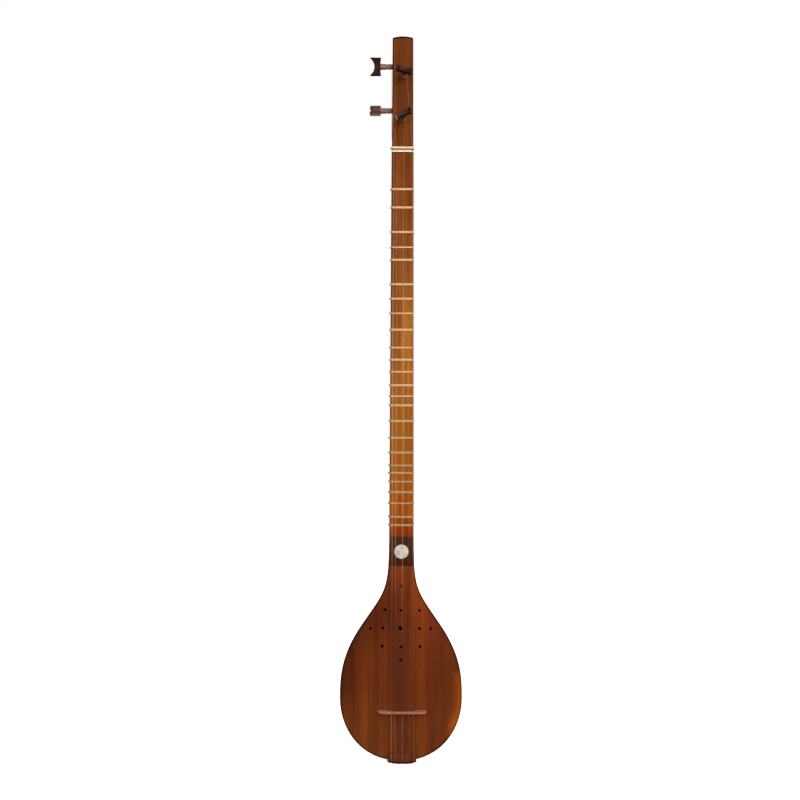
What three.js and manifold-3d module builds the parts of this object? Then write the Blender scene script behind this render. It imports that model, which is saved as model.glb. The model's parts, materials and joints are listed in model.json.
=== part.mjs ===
// Setar, a long-necked lute with four strings and twenty-five tied gut frets.
// Millimetres. +Z runs up the neck, the soundboard faces -Y, and +X is to the right from the front.
// The origin lies on the flat end of the string holder, in the plane of the soundboard's face.

import * as THREE from 'three';
import { mergeVertices } from 'three/addons/utils/BufferGeometryUtils.js';
import Module from 'manifold-3d';

const wasm = await Module();
wasm.setup();

// Whole instrument
const fingerboard_length = 451.4;
const head_length = 134;
const bridge_from_tail = 60.4;
const glue_gap = 0.3;
const overrun = 6;

// Bowl and soundboard
const bowl_width = 142.9;
const bowl_depth = 128;
const bowl_from_tail = 2.2;
const bowl_widest_from_tail = 76.1;
const bowl_tip_width = 18;
const neck_joint_from_tail = 231;
const stave_count = 9;
const stave_thickness = 2.8;
const board_thickness = 2.5;
const tail_block_height = 16;
const tail_block_width = 74;
const throat_block_height = 34;

// Neck and head
const shoulder_above_plate = 20.4;
const shoulder_width = 28.6;
const shoulder_depth = 25.8;
const nut_width = 25.8;
const nut_depth = 23.6;
const head_width = 25.2;
const head_depth = 23;
const head_top_width = 24.2;
const head_top_depth = 22;
const head_step_above_nut = 6;
const edge_radius = 2;
const facing_thickness = 2;
const facing_edge_radius = 1.6;
const cap_thickness = 2.2;
const cap_crown = 1.7;

// Throat plate and its pearl disc
const plate_height = 33.3;
const plate_proud = 0.5;
const disc_diameter = 16.7;
const disc_thickness = 1.2;
const disc_proud = 0.2;
const disc_from_plate_foot = 16.2;

// Nut, string tie and frets
const nut_thickness = 2.7;
const nut_proud = 1.8;
const tie_above_nut = 3.6;
const tie_width = 2.3;
const gut_diameter = 0.6;
const fret_turn_pitch = 0.58;
const wide_fret_turns = 4;
const narrow_fret_turns = 3;
const knot_radius = 1;
const knot_from_front = 3;

// Strings
const string_diameter = 0.6;
const string_nut_sink = 0.2;
const string_bridge_sink = 0.4;

// Bridge
const bridge_length = 57;
const bridge_offset = 1.1;
const bridge_height = 8;
const bridge_foot_thickness = 3.3;
const bridge_top_thickness = 1.6;
const bridge_foot_length = 11;
const bridge_arch_run = 7;
const bridge_arch_rise = 3.5;
const bridge_end_height = 4.3;
const bridge_end_step = 1.8;
const bridge_end_slope = 7;
const bridge_travel = 2.5;

// String holder at the tail
const holder_width = 34;
const holder_offset = 1.3;
const holder_depth = 28;
const holder_lip_height = 12.4;
const holder_lip_proud = 2.5;
const holder_lip_taper = 0.9;
const holder_corner_rise = 2.4;
const kerf_depth = 1.4;
const kerf_length = 5;

// Pegs
const peg_shaft_diameter = 6.6;
const peg_tip_diameter = 5.4;
const peg_clearance = 0.3;
const peg_tip_inset = 0.6;
const side_peg_reach = 14.2;
const front_peg_reach = 19;
const peg_collar_diameter = 7.4;
const peg_collar_length = 2;
const side_knob_length = 20.2;
const front_knob_length = 18;
const knob_end_height = 12.3;
const knob_waist_height = 7.2;
const knob_end_thickness = 6.6;
const knob_waist_thickness = 4.8;
const knob_chamfer = 1.2;
const knob_flare_power = 1.5;

// Windings on the pegs
const winding_turns = 4;
const winding_pitch = 1.5;
const winding_bend_radius = 1;
const string_hole_diameter = 1.4;
const string_hole_floor = 1.1;
const string_end_radius = 1.6;

// Sound holes
const small_hole_diameter = 3.4;
const large_hole_diameter = 4.8;

// Shares of the outline: sideways as shares of the half width or depth,
// upwards as shares of the height between the ends of each stretch.
const tail_round_share = 0.6771;
const side_round_share = 0.4779;
const side_rise_share = 0.1206;
const flank_in_share = 0.6619;
const flank_up_share = 0.3968;
const flank_handle_in_share = 0.3295;
const flank_handle_up_share = 0.1666;
const flank_reach_share = 1.4093;
const shoulder_flare_share = 0.0077;
const shoulder_rise_share = 0.4008;

// Frets, from the nut down, as shares of the way to the throat plate, and those of fewer turns.
const fret_shares = [
  0.0991, 0.1465, 0.2101, 0.2496, 0.2822, 0.3454, 0.3828, 0.4207, 0.4631, 0.5095, 0.5408, 0.5720, 0.6069,
  0.6353, 0.6590, 0.6996, 0.7430, 0.7814, 0.8148, 0.8340, 0.8567, 0.8841, 0.9127, 0.9477, 0.9692,
];
const narrow_frets = [4, 8, 10, 12, 14, 19, 21, 23];

// Strings, left to right: places on the nut as shares of its half width, and on the bridge and
// the holder as shares of their half lengths from their own middles.
const string_nut_shares = [-0.814, -0.504, 0.116, 0.868];
const string_bridge_shares = [-0.421, -0.292, 0.017, 0.473];
const string_holder_shares = [-0.724, -0.447, 0.012, 0.818];

// Pegs in the order of the strings: height as a share of the head from the nut to its top,
// sideways place of a front peg as a share of the head's half width, and the turn of the knob.
const pegs = [
  { name: 'side_lower', side: true, height_share: 0.3705, across_share: 0, knob_turn: 58 },
  { name: 'side_upper', side: true, height_share: 0.757, across_share: 0, knob_turn: 0 },
  { name: 'front_lower', side: false, height_share: 0.28, across_share: 0.04, knob_turn: 114 },
  { name: 'front_upper', side: false, height_share: 0.655, across_share: 0.1, knob_turn: 74 },
];

// Sound holes: sideways as shares of the bowl's half width, upwards as shares of the board's length.
const sound_hole_shares = [
  [-0.004, 0.895], [-0.269, 0.774], [-0.006, 0.771], [0.299, 0.770],
  [-0.503, 0.677], [-0.304, 0.681], [-0.010, 0.679], [0.300, 0.678], [0.483, 0.678],
  [-0.312, 0.587], [-0.003, 0.583], [0.308, 0.586], [-0.006, 0.515],
];
const large_hole_index = 6;

// Underside of the string holder: half widths and corner rises, a flat between two short slopes.
const holder_under_shares = [[-1, 1], [-0.8, 0.46], [-0.42, 0], [0.42, 0], [0.8, 0.46], [1, 1]];

// A band that is lifted over the strings turns its corners in this share of their usual run.
const lifted_corner_share = 0.6;

// Counts that set how finely round shapes are cut
const tail_steps = 8;
const flank_steps = 6;
const throat_steps = 4;
const facets_per_stave = 2;
const section_steps = 12;
const corner_steps = 2;
const shaft_sides = 16;
const tube_sides = 6;
const loop_steps = 24;
const bend_steps = 4;
const knob_steps = 6;
const hole_sides = 8;
const disc_sides = 32;
const crown_steps = 4;
const arch_steps = 6;
const halvings = 40;
const measuring_steps = 40;
const small_turn = 1e-6;

// Where the neck has a section between its end and the shoulder, as shares of the way up.
const throat_section_shares = [0.3, 0.65];

// Places that follow from the sizes
const neck_end = neck_joint_from_tail + glue_gap;
const plate_top = neck_end + plate_height;
const shoulder_from_tail = plate_top + shoulder_above_plate;
const nut_from_tail = plate_top + fingerboard_length;
const overall_length = nut_from_tail + head_length;
const scale_length = nut_from_tail - bridge_from_tail;
const cap_from_tail = overall_length - cap_thickness;
const rise = shoulder_from_tail - bowl_widest_from_tail;
const bowl_rim = board_thickness + glue_gap;
const nut_foot = nut_from_tail - nut_thickness / 2;
const nut_head = nut_from_tail + nut_thickness / 2;
const tie_from_tail = nut_from_tail + tie_above_nut;
const string_radius = string_diameter / 2;
const string_seat = string_radius + glue_gap;
const slot_width = string_diameter + 2 * glue_gap;
const string_nut_rise = nut_proud - string_nut_sink;
const string_bridge_rise = bridge_height - string_bridge_sink;
const holder_string_rise = holder_lip_proud + string_seat;
const string_fall = (string_bridge_rise - holder_string_rise) / (bridge_from_tail - holder_lip_height);

// Materials
function paint(colour, roughness, metalness = 0) {
  return new THREE.MeshStandardMaterial({ color: colour, roughness, metalness });
}
const board_wood = paint(0x6b3018, 0.4);
const stave_wood = paint(0x7a3d1c, 0.35);
const neck_wood = paint(0x6e3a1a, 0.4);
const facing_wood = paint(0x97592a, 0.4);
const plate_wood = paint(0x46231a, 0.35);
const cap_wood = paint(0x2e1d16, 0.4);
const peg_wood = paint(0x4a342b, 0.35);
const bridge_wood = paint(0x95614a, 0.55);
const block_wood = paint(0xb08a5c, 0.7);
const bone = paint(0xf5e6cf, 0.35);
const gut = paint(0xdcb98a, 0.45);
const pearl = paint(0xcbc3b0, 0.25);
const string_metal = paint(0xc9b9a4, 0.3, 0.9);

const setar = new THREE.Group();

function addPiece(name, geometry, material, parent = setar) {
  const mesh = new THREE.Mesh(geometry, material);
  mesh.name = name;
  parent.add(mesh);
  return mesh;
}

// Solids

function signedVolume(geometry) {
  const place = geometry.attributes.position;
  const index = geometry.index;
  const count = index ? index.count : place.count;
  const corner = [new THREE.Vector3(), new THREE.Vector3(), new THREE.Vector3()];
  let total = 0;
  for (let i = 0; i < count; i += 3) {
    for (let k = 0; k < 3; k += 1) {
      corner[k].fromBufferAttribute(place, index ? index.getX(i + k) : i + k);
    }
    total += corner[0].dot(corner[1].cross(corner[2]));
  }
  return total / 6;
}

function bareGeometry(points, triangles) {
  const geometry = new THREE.BufferGeometry();
  geometry.setAttribute('position', new THREE.Float32BufferAttribute(points, 3));
  geometry.setIndex(triangles);
  if (signedVolume(geometry) < 0) {
    geometry.setIndex(triangles.slice().reverse());
  }
  return geometry;
}

// Joins rings of points into a closed skin. An open row of rings gets flat ends.
function loft(rings, wrap = false) {
  const around = rings[0].length;
  const points = rings.flat().flatMap((point) => [point.x, point.y, point.z]);
  const triangles = [];
  const spans = wrap ? rings.length : rings.length - 1;
  for (let i = 0; i < spans; i += 1) {
    const low = i * around;
    const high = ((i + 1) % rings.length) * around;
    for (let j = 0; j < around; j += 1) {
      const next = (j + 1) % around;
      triangles.push(low + j, low + next, high + next, low + j, high + next, high + j);
    }
  }
  if (!wrap) {
    const last = (rings.length - 1) * around;
    for (let j = 1; j < around - 1; j += 1) {
      triangles.push(0, j + 1, j, last, last + j, last + j + 1);
    }
  }
  return bareGeometry(points, triangles);
}

function toSolid(geometry) {
  const bare = geometry.clone();
  bare.deleteAttribute('normal');
  bare.deleteAttribute('uv');
  const merged = mergeVertices(bare);
  const triangles = Uint32Array.from(merged.index.array);
  const vertices = Float32Array.from(merged.attributes.position.array);
  return new wasm.Manifold(new wasm.Mesh({ numProp: 3, vertProperties: vertices, triVerts: triangles }));
}

function toGeometry(solid) {
  const mesh = solid.getMesh();
  const geometry = new THREE.BufferGeometry();
  geometry.setAttribute('position', new THREE.BufferAttribute(Float32Array.from(mesh.vertProperties), 3));
  geometry.setIndex(new THREE.BufferAttribute(Uint32Array.from(mesh.triVerts), 1));
  return geometry;
}

function boxBetween(low, high) {
  const size = new THREE.Vector3().subVectors(high, low);
  const middle = new THREE.Vector3().addVectors(high, low).divideScalar(2);
  return new THREE.BoxGeometry(size.x, size.y, size.z).translate(middle.x, middle.y, middle.z);
}

// Turns a shape drawn with its height upwards so that the height points out of the front.
function heightToFront(geometry) {
  geometry.scale(1, -1, 1);
  const corners = [...Array(geometry.attributes.position.count).keys()];
  geometry.setIndex(corners.reverse());
  return geometry;
}

// Extrudes a front view, drawn as x and z, from one depth y to another.
function slab(shape, front, back, curve_steps = 1) {
  const settings = { depth: back - front, bevelEnabled: false, curveSegments: curve_steps };
  const geometry = new THREE.ExtrudeGeometry(shape, settings);
  geometry.rotateX(Math.PI / 2);
  return geometry.translate(0, back, 0);
}

function shapeOf(points) {
  return new THREE.Shape(points.map(([across, up]) => new THREE.Vector2(across, up)));
}

// A tube that has one ring of its section at each point of its route.
class Route extends THREE.Curve {
  constructor(points) {
    super();
    this.points = points;
  }

  getPoint(share) {
    const index = Math.round(share * (this.points.length - 1));
    return this.points[index].clone();
  }

  getPointAt(share) {
    return this.getPoint(share);
  }

  getTangentAt(share) {
    const last = this.points.length - 1;
    const index = Math.round(share * last);
    const before = this.points[Math.max(index - 1, 0)];
    const here = this.points[index];
    const after = this.points[Math.min(index + 1, last)];
    const arriving = new THREE.Vector3().subVectors(here, before).normalize();
    const leaving = new THREE.Vector3().subVectors(after, here).normalize();
    return arriving.add(leaving).normalize();
  }
}

function tube(points, radius) {
  const section = new THREE.Shape();
  section.absarc(0, 0, radius, 0, 2 * Math.PI);
  const corners = section.getSpacedPoints(tube_sides).slice(0, tube_sides);
  const settings = { steps: points.length - 1, extrudePath: new Route(points), bevelEnabled: false };
  return new THREE.ExtrudeGeometry(new THREE.Shape(corners), settings);
}

// Bowl outline

function bezier(a, b, c, d, share) {
  const rest = 1 - share;
  return rest ** 3 * a + 3 * rest ** 2 * share * b + 3 * rest * share ** 2 * c + share ** 3 * d;
}

// Control points of the half outline, tail to shoulder, for a half width or a depth.
function outlineStretches(reach, neck_reach) {
  const low = bowl_from_tail;
  const wide = bowl_widest_from_tail;
  const flank = [flank_in_share * reach, wide + flank_up_share * rise];
  const handle = [flank_handle_in_share * reach, flank_handle_up_share * rise];
  return [
    [
      [0, low], [tail_round_share * reach, low],
      [reach, wide - side_round_share * (wide - low)], [reach, wide],
    ],
    [
      [reach, wide], [reach, wide + side_rise_share * rise],
      [flank[0] + handle[0], flank[1] - handle[1]], flank,
    ],
    [
      flank, [flank[0] - flank_reach_share * handle[0], flank[1] + flank_reach_share * handle[1]],
      [neck_reach + shoulder_flare_share * reach, shoulder_from_tail - shoulder_rise_share * rise],
      [neck_reach, shoulder_from_tail],
    ],
  ];
}

function outlinePoint(stretches, which, share) {
  const [a, b, c, d] = stretches[which];
  return [bezier(a[0], b[0], c[0], d[0], share), bezier(a[1], b[1], c[1], d[1], share)];
}

// Share of a stretch at which one coordinate reaches a value.
function shareWhere(stretches, which, coordinate, value) {
  let low = 0;
  let high = 1;
  for (let i = 0; i < halvings; i += 1) {
    const middle = (low + high) / 2;
    if (outlinePoint(stretches, which, middle)[coordinate] < value) {
      low = middle;
    } else {
      high = middle;
    }
  }
  return (low + high) / 2;
}

const side_outline = outlineStretches(bowl_width / 2, shoulder_width / 2);
const back_outline = outlineStretches(bowl_depth, shoulder_depth);
const tip_share = shareWhere(side_outline, 0, 0, bowl_tip_width / 2);
const joint_share = shareWhere(side_outline, 2, 1, neck_joint_from_tail);

// The places along the outline where the bowl, its staves and the board have a station.
const stations = [];
for (let i = 0; i < tail_steps; i += 1) {
  stations.push([0, tip_share + (1 - tip_share) * (i / tail_steps)]);
}
for (let i = 0; i < flank_steps; i += 1) {
  stations.push([1, i / flank_steps]);
}
for (let i = 0; i <= throat_steps; i += 1) {
  stations.push([2, joint_share * (i / throat_steps)]);
}

// A point of the outline at a station, moved out along the outline's normal.
function offsetPoint(stretches, station, offset) {
  const [which, share] = station;
  const nudge = 0.001;
  const here = outlinePoint(stretches, which, share);
  const before = outlinePoint(stretches, which, share - nudge);
  const after = outlinePoint(stretches, which, share + nudge);
  const along = [after[0] - before[0], after[1] - before[1]];
  const length = Math.hypot(along[0], along[1]);
  return [here[0] + (offset * along[1]) / length, here[1] - (offset * along[0]) / length];
}

// A point of the bowl's skin: turn is 0 at the middle of the back and a right angle at the rim.
function bowlPoint(station, turn, offset) {
  const side = offsetPoint(side_outline, station, offset);
  const back = offsetPoint(back_outline, station, offset);
  const height = side[1] * Math.sin(turn) ** 2 + back[1] * Math.cos(turn) ** 2;
  const depth = bowl_rim + (back[0] - bowl_rim) * Math.cos(turn);
  return new THREE.Vector3(side[0] * Math.sin(turn), depth, height);
}

// Turns that share the widest section of the bowl out equally.
function equalTurns(count) {
  const widest = [1, 0];
  const fine_steps = measuring_steps * count;
  const lengths = [0];
  let previous = bowlPoint(widest, -Math.PI / 2, 0);
  for (let i = 1; i <= fine_steps; i += 1) {
    const point = bowlPoint(widest, -Math.PI / 2 + (Math.PI * i) / fine_steps, 0);
    lengths.push(lengths[i - 1] + point.distanceTo(previous));
    previous = point;
  }
  const turns = [-Math.PI / 2];
  for (let i = 1; i < count; i += 1) {
    const target = (lengths[fine_steps] * i) / count;
    const index = lengths.findIndex((length) => length >= target);
    turns.push(-Math.PI / 2 + (Math.PI * index) / fine_steps);
  }
  turns.push(Math.PI / 2);
  return turns;
}

const facet_turns = equalTurns(stave_count * facets_per_stave);

// The turn of a stave's edge, drawn in by half the glue line.
function insetTurn(station, turn, direction) {
  if (Math.abs(turn) > Math.PI / 2 - small_turn) {
    return turn;
  }
  const nudge = 0.001;
  const reach = bowlPoint(station, turn, 0).distanceTo(bowlPoint(station, turn + nudge, 0)) / nudge;
  return turn + (direction * glue_gap) / 2 / reach;
}

function stave(index) {
  const first = index * facets_per_stave;
  const rings = stations.map((station) => {
    const turns = facet_turns.slice(first, first + facets_per_stave + 1);
    turns[0] = insetTurn(station, turns[0], 1);
    turns[facets_per_stave] = insetTurn(station, turns[facets_per_stave], -1);
    const outer = turns.map((turn) => bowlPoint(station, turn, 0));
    const inner = turns.map((turn) => bowlPoint(station, turn, -stave_thickness)).reverse();
    return [...outer, ...inner];
  });
  return rings;
}

// Joins the rings of a thin strip: like loft, with its ends filled across the strip.
function stripLoft(rings) {
  const around = rings[0].length;
  const half = around / 2;
  const points = rings.flat().flatMap((point) => [point.x, point.y, point.z]);
  const triangles = [];
  for (let i = 0; i < rings.length - 1; i += 1) {
    const low = i * around;
    const high = low + around;
    for (let j = 0; j < around; j += 1) {
      const next = (j + 1) % around;
      triangles.push(low + j, low + next, high + next, low + j, high + next, high + j);
    }
  }
  const last = (rings.length - 1) * around;
  for (let j = 0; j < half - 1; j += 1) {
    const across = around - 1 - j;
    triangles.push(j, across, across - 1, j, across - 1, j + 1);
    triangles.push(last + j, last + across - 1, last + across, last + j, last + j + 1, last + across - 1);
  }
  return bareGeometry(points, triangles);
}

// The whole bowl as one solid, grown or shrunk by an offset, open to the front as far as a plane.
function bowlBody(offset, front) {
  const rings = stations.map((station) => {
    const ring = facet_turns.map((turn) => bowlPoint(station, turn, offset));
    const left = ring[0];
    const right = ring[ring.length - 1];
    const right_front = new THREE.Vector3(right.x, front, right.z);
    const left_front = new THREE.Vector3(left.x, front, left.z);
    return [...ring, right_front, left_front];
  });
  return toSolid(loft(rings));
}

function buildBowl() {
  for (let i = 0; i < stave_count; i += 1) {
    addPiece(`bowl_stave_${i + 1}`, stripLoft(stave(i)), stave_wood);
  }
  const inside = bowlBody(-stave_thickness - glue_gap, bowl_rim);
  const reach = bowl_width;
  const tail = boxBetween(
    new THREE.Vector3(-tail_block_width / 2, bowl_rim, 0),
    new THREE.Vector3(tail_block_width / 2, bowl_depth, bowl_from_tail + stave_thickness + tail_block_height),
  );
  addPiece('tail_block', toGeometry(inside.intersect(toSolid(tail))), block_wood);
  const throat = boxBetween(
    new THREE.Vector3(-reach, bowl_rim, neck_joint_from_tail - throat_block_height),
    new THREE.Vector3(reach, bowl_depth, neck_joint_from_tail),
  );
  addPiece('throat_block', toGeometry(inside.intersect(toSolid(throat))), block_wood);
}

function buildSoundboard() {
  const right = stations.map((station) => outlinePoint(side_outline, station[0], station[1]));
  const left = right.map(([across, up]) => [-across, up]).reverse();
  const shape = shapeOf([...right, ...left]);
  const board_length = neck_joint_from_tail - bowl_from_tail;
  sound_hole_shares.forEach(([across_share, up_share], index) => {
    const diameter = index === large_hole_index ? large_hole_diameter : small_hole_diameter;
    const across = (across_share * bowl_width) / 2;
    const up = bowl_from_tail + up_share * board_length;
    const hole = new THREE.Path();
    hole.absarc(across, up, diameter / 2, 0, 2 * Math.PI, true);
    shape.holes.push(new THREE.Path(hole.getSpacedPoints(hole_sides).slice(0, hole_sides)));
  });
  addPiece('soundboard', slab(shape, 0, board_thickness), board_wood);
}

// Neck

function between(low, high, share) {
  return low + (high - low) * share;
}

// Half width and depth of the neck at a height.
function neckSize(height) {
  if (height < shoulder_from_tail) {
    const side = shareWhere(side_outline, 2, 1, height);
    const back = shareWhere(back_outline, 2, 1, height);
    return [outlinePoint(side_outline, 2, side)[0], outlinePoint(back_outline, 2, back)[0]];
  }
  const step_top = nut_from_tail + head_step_above_nut;
  if (height < nut_from_tail) {
    const share = (height - shoulder_from_tail) / (nut_from_tail - shoulder_from_tail);
    return [between(shoulder_width, nut_width, share) / 2, between(shoulder_depth, nut_depth, share)];
  }
  if (height < step_top) {
    const share = (height - nut_from_tail) / head_step_above_nut;
    return [between(nut_width, head_width, share) / 2, between(nut_depth, head_depth, share)];
  }
  const share = (height - step_top) / (overall_length - step_top);
  return [between(head_width, head_top_width, share) / 2, between(head_depth, head_top_depth, share)];
}

// The neck's section at a height, grown by an offset and lifted in front.
function neckRing(height, offset, lift = 0, place = height) {
  const [half, depth] = neckSize(height);
  const wide = half + offset;
  const deep = depth + offset;
  const corner = edge_radius + offset;
  const front = -offset;
  const corner_run = lift > 0 ? corner * lifted_corner_share : corner;
  const ring = [];
  for (let i = 0; i <= corner_steps; i += 1) {
    const turn = (Math.PI / 2) * (i / corner_steps);
    const drop = corner * (1 - Math.sin(turn)) - lift * Math.sin(turn);
    ring.push([-wide + corner_run * (1 - Math.cos(turn)), front + drop]);
  }
  const right = ring.map(([across, back]) => [-across, back]).reverse();
  ring.push(...right);
  for (let i = 1; i < section_steps; i += 1) {
    const turn = Math.PI / 2 - (Math.PI * i) / section_steps;
    ring.push([wide * Math.sin(turn), front + corner + (deep - corner - front) * Math.cos(turn)]);
  }
  return ring.map(([across, back]) => new THREE.Vector3(across, back, place));
}

const neck_heights = [
  neck_end, ...throat_section_shares.map((share) => between(neck_end, shoulder_from_tail, share)),
  shoulder_from_tail, nut_from_tail, nut_from_tail + head_step_above_nut, overall_length,
];

function pegHeight(peg) {
  return nut_from_tail + peg.height_share * head_length;
}

// Where a peg's axis meets the head's surface, and the directions that the peg is built in:
// first up the neck, second across, third outwards along the peg.
function pegFrame(peg) {
  const height = pegHeight(peg);
  const [half, depth] = neckSize(height);
  const up = new THREE.Vector3(0, 0, 1);
  const out = peg.side ? new THREE.Vector3(-1, 0, 0) : new THREE.Vector3(0, -1, 0);
  const across = new THREE.Vector3().crossVectors(out, up);
  const place = peg.side
    ? new THREE.Vector3(-half, depth / 2, height)
    : new THREE.Vector3(peg.across_share * half, 0, height);
  const through = peg.side ? 2 * half : depth;
  return { place, up, across, out, through };
}

function pegBody(radius, tip_radius, through, reach) {
  const profile = [[0, -through], [tip_radius, -through], [radius, 0], [radius, reach], [0, reach]];
  const points = profile.map(([across, along]) => new THREE.Vector2(across, along));
  return new THREE.LatheGeometry(points, shaft_sides).rotateX(Math.PI / 2);
}

function placeInHead(geometry, peg) {
  const { place, up, across, out } = pegFrame(peg);
  const basis = new THREE.Matrix4().makeBasis(up, across, out);
  basis.setPosition(place);
  return geometry.applyMatrix4(basis);
}

// The solid across the head between its arch, whose middle lies at a height, and a flat at another.
function archBlock(middle, flat) {
  const half = head_top_width / 2;
  const edge = middle - cap_crown;
  const shape = new THREE.Shape();
  shape.moveTo(-half - overrun, flat);
  shape.lineTo(half + overrun, flat);
  shape.lineTo(half + overrun, edge);
  shape.lineTo(half, edge);
  shape.quadraticCurveTo(half / 2, middle, 0, middle);
  shape.quadraticCurveTo(-half / 2, middle, -half, edge);
  shape.lineTo(-half - overrun, edge);
  return toSolid(slab(shape, -overrun, head_top_depth + overrun, crown_steps));
}

function buildNeck() {
  let neck = toSolid(loft(neck_heights.map((height) => neckRing(height, 0))));
  neck = neck.subtract(archBlock(cap_from_tail, overall_length + overrun));
  const recess = boxBetween(
    new THREE.Vector3(-shoulder_width, -overrun, neck_end - overrun),
    new THREE.Vector3(shoulder_width, facing_thickness + glue_gap, nut_head + glue_gap),
  );
  neck = neck.subtract(toSolid(recess));
  const facet_grow = 1 / Math.cos(Math.PI / shaft_sides);
  for (const peg of pegs) {
    const { through } = pegFrame(peg);
    const radius = (peg_shaft_diameter / 2 + peg_clearance) * facet_grow;
    const tip_radius = (peg_tip_diameter / 2 + peg_clearance) * facet_grow;
    const hole = placeInHead(pegBody(radius, tip_radius, through + overrun, overrun), peg);
    neck = neck.subtract(toSolid(hole));
  }
  addPiece('neck', toGeometry(neck), neck_wood);

  const cap_foot = cap_from_tail - cap_crown;
  const cap_rings = [cap_foot, overall_length + overrun].map((place) => (
    neckRing(overall_length, 0, 0, place)
  ));
  const head_end = archBlock(cap_from_tail + glue_gap, cap_foot - overrun);
  const cap_block = archBlock(overall_length, cap_foot - overrun).subtract(head_end);
  addPiece('head_cap', toGeometry(toSolid(loft(cap_rings)).intersect(cap_block)), cap_wood);
}

// Facing and throat plate: strips over the neck, between their own heights.
function facingRing(height, front, back, radius) {
  const [half] = neckSize(height);
  const ring = [[-half, back]];
  for (let i = 0; i <= corner_steps; i += 1) {
    const turn = (Math.PI / 2) * (i / corner_steps);
    ring.push([-half + radius * (1 - Math.cos(turn)), front + radius * (1 - Math.sin(turn))]);
  }
  const right = ring.map(([across, depth]) => [-across, depth]).reverse();
  return [...ring, ...right].map(([across, depth]) => new THREE.Vector3(across, depth, height));
}

function buildFacings() {
  const facing_heights = [plate_top + glue_gap, shoulder_from_tail, nut_foot - glue_gap];
  const facing_rings = facing_heights.map((height) => (
    facingRing(height, 0, facing_thickness, facing_edge_radius)
  ));
  addPiece('fingerboard', loft(facing_rings), facing_wood);

  const plate_heights = [neck_end, between(neck_end, plate_top, 0.5), plate_top];
  const plate_rings = plate_heights.map((height) => (
    facingRing(height, -plate_proud, facing_thickness, plate_proud)
  ));
  const disc_seat = plate_proud + disc_proud;
  const disc_place = new THREE.Vector3(0, 0, neck_end + disc_from_plate_foot);
  const pocket_back = -disc_seat + disc_thickness + glue_gap;
  const pocket = new THREE.CylinderGeometry(
    disc_diameter / 2 + glue_gap, disc_diameter / 2 + glue_gap, pocket_back + overrun, disc_sides,
  );
  pocket.translate(disc_place.x, (pocket_back - overrun) / 2, disc_place.z);
  const plate = toSolid(loft(plate_rings)).subtract(toSolid(pocket));
  addPiece('throat_plate', toGeometry(plate), plate_wood);

  const disc = new THREE.CylinderGeometry(disc_diameter / 2, disc_diameter / 2, disc_thickness, disc_sides);
  const disc_mesh = addPiece('pearl_disc', disc, pearl);
  disc_mesh.position.set(disc_place.x, -disc_seat + disc_thickness / 2, disc_place.z);
}

// Nut, a bar across the neck with one slot for each string.
function buildNut() {
  const half = nut_width / 2;
  const floor = string_nut_rise - string_seat;
  const outline = [[-half, -facing_thickness], [half, -facing_thickness], [half, nut_proud / 2]];
  outline.push([half - nut_proud / 2, nut_proud]);
  const places = string_nut_shares.map((share) => share * half).reverse();
  for (const place of places) {
    outline.push([place + slot_width / 2, nut_proud], [place + slot_width / 2, floor]);
    outline.push([place - slot_width / 2, floor], [place - slot_width / 2, nut_proud]);
  }
  outline.push([-half + nut_proud / 2, nut_proud], [-half, nut_proud / 2]);
  const settings = { depth: nut_thickness, bevelEnabled: false };
  const bar = new THREE.ExtrudeGeometry(shapeOf(outline), settings);
  bar.translate(0, 0, nut_foot);
  addPiece('nut', heightToFront(bar), bone);
}

// A tied band of gut round the neck, with its knot on the left edge.
function gutBand(height, width, lift) {
  const inner_low = neckRing(height, glue_gap, lift, height - width / 2);
  const inner_high = neckRing(height, glue_gap, lift, height + width / 2);
  const bulge = width / 2 - gut_diameter / 2;
  const outer_low = neckRing(height, glue_gap + gut_diameter, lift, height - bulge);
  const outer_high = neckRing(height, glue_gap + gut_diameter, lift, height + bulge);
  const rings = inner_low.map((point, i) => [point, inner_high[i], outer_high[i], outer_low[i]]);
  const [half] = neckSize(height);
  const knot = new THREE.IcosahedronGeometry(knot_radius, 0);
  knot.translate(-half - glue_gap - gut_diameter, knot_from_front, height);
  return toGeometry(toSolid(loft(rings, true)).add(toSolid(knot)));
}

function buildFrets() {
  fret_shares.forEach((share, index) => {
    const turns = narrow_frets.includes(index + 1) ? narrow_fret_turns : wide_fret_turns;
    const width = (turns - 1) * fret_turn_pitch + gut_diameter;
    const name = `fret_${String(index + 1).padStart(2, '0')}`;
    addPiece(name, gutBand(between(nut_from_tail, plate_top, share), width, 0), gut);
  });
  const tie_lift = string_nut_rise + string_radius - glue_gap;
  addPiece('string_tie', gutBand(tie_from_tail, tie_width, tie_lift), gut);
}

// Bridge: an arch on two feet, thinner towards its top, with one slot for each string.
function bridgeStringPlace(index) {
  return bridge_offset + (string_bridge_shares[index] * bridge_length) / 2;
}

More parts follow.
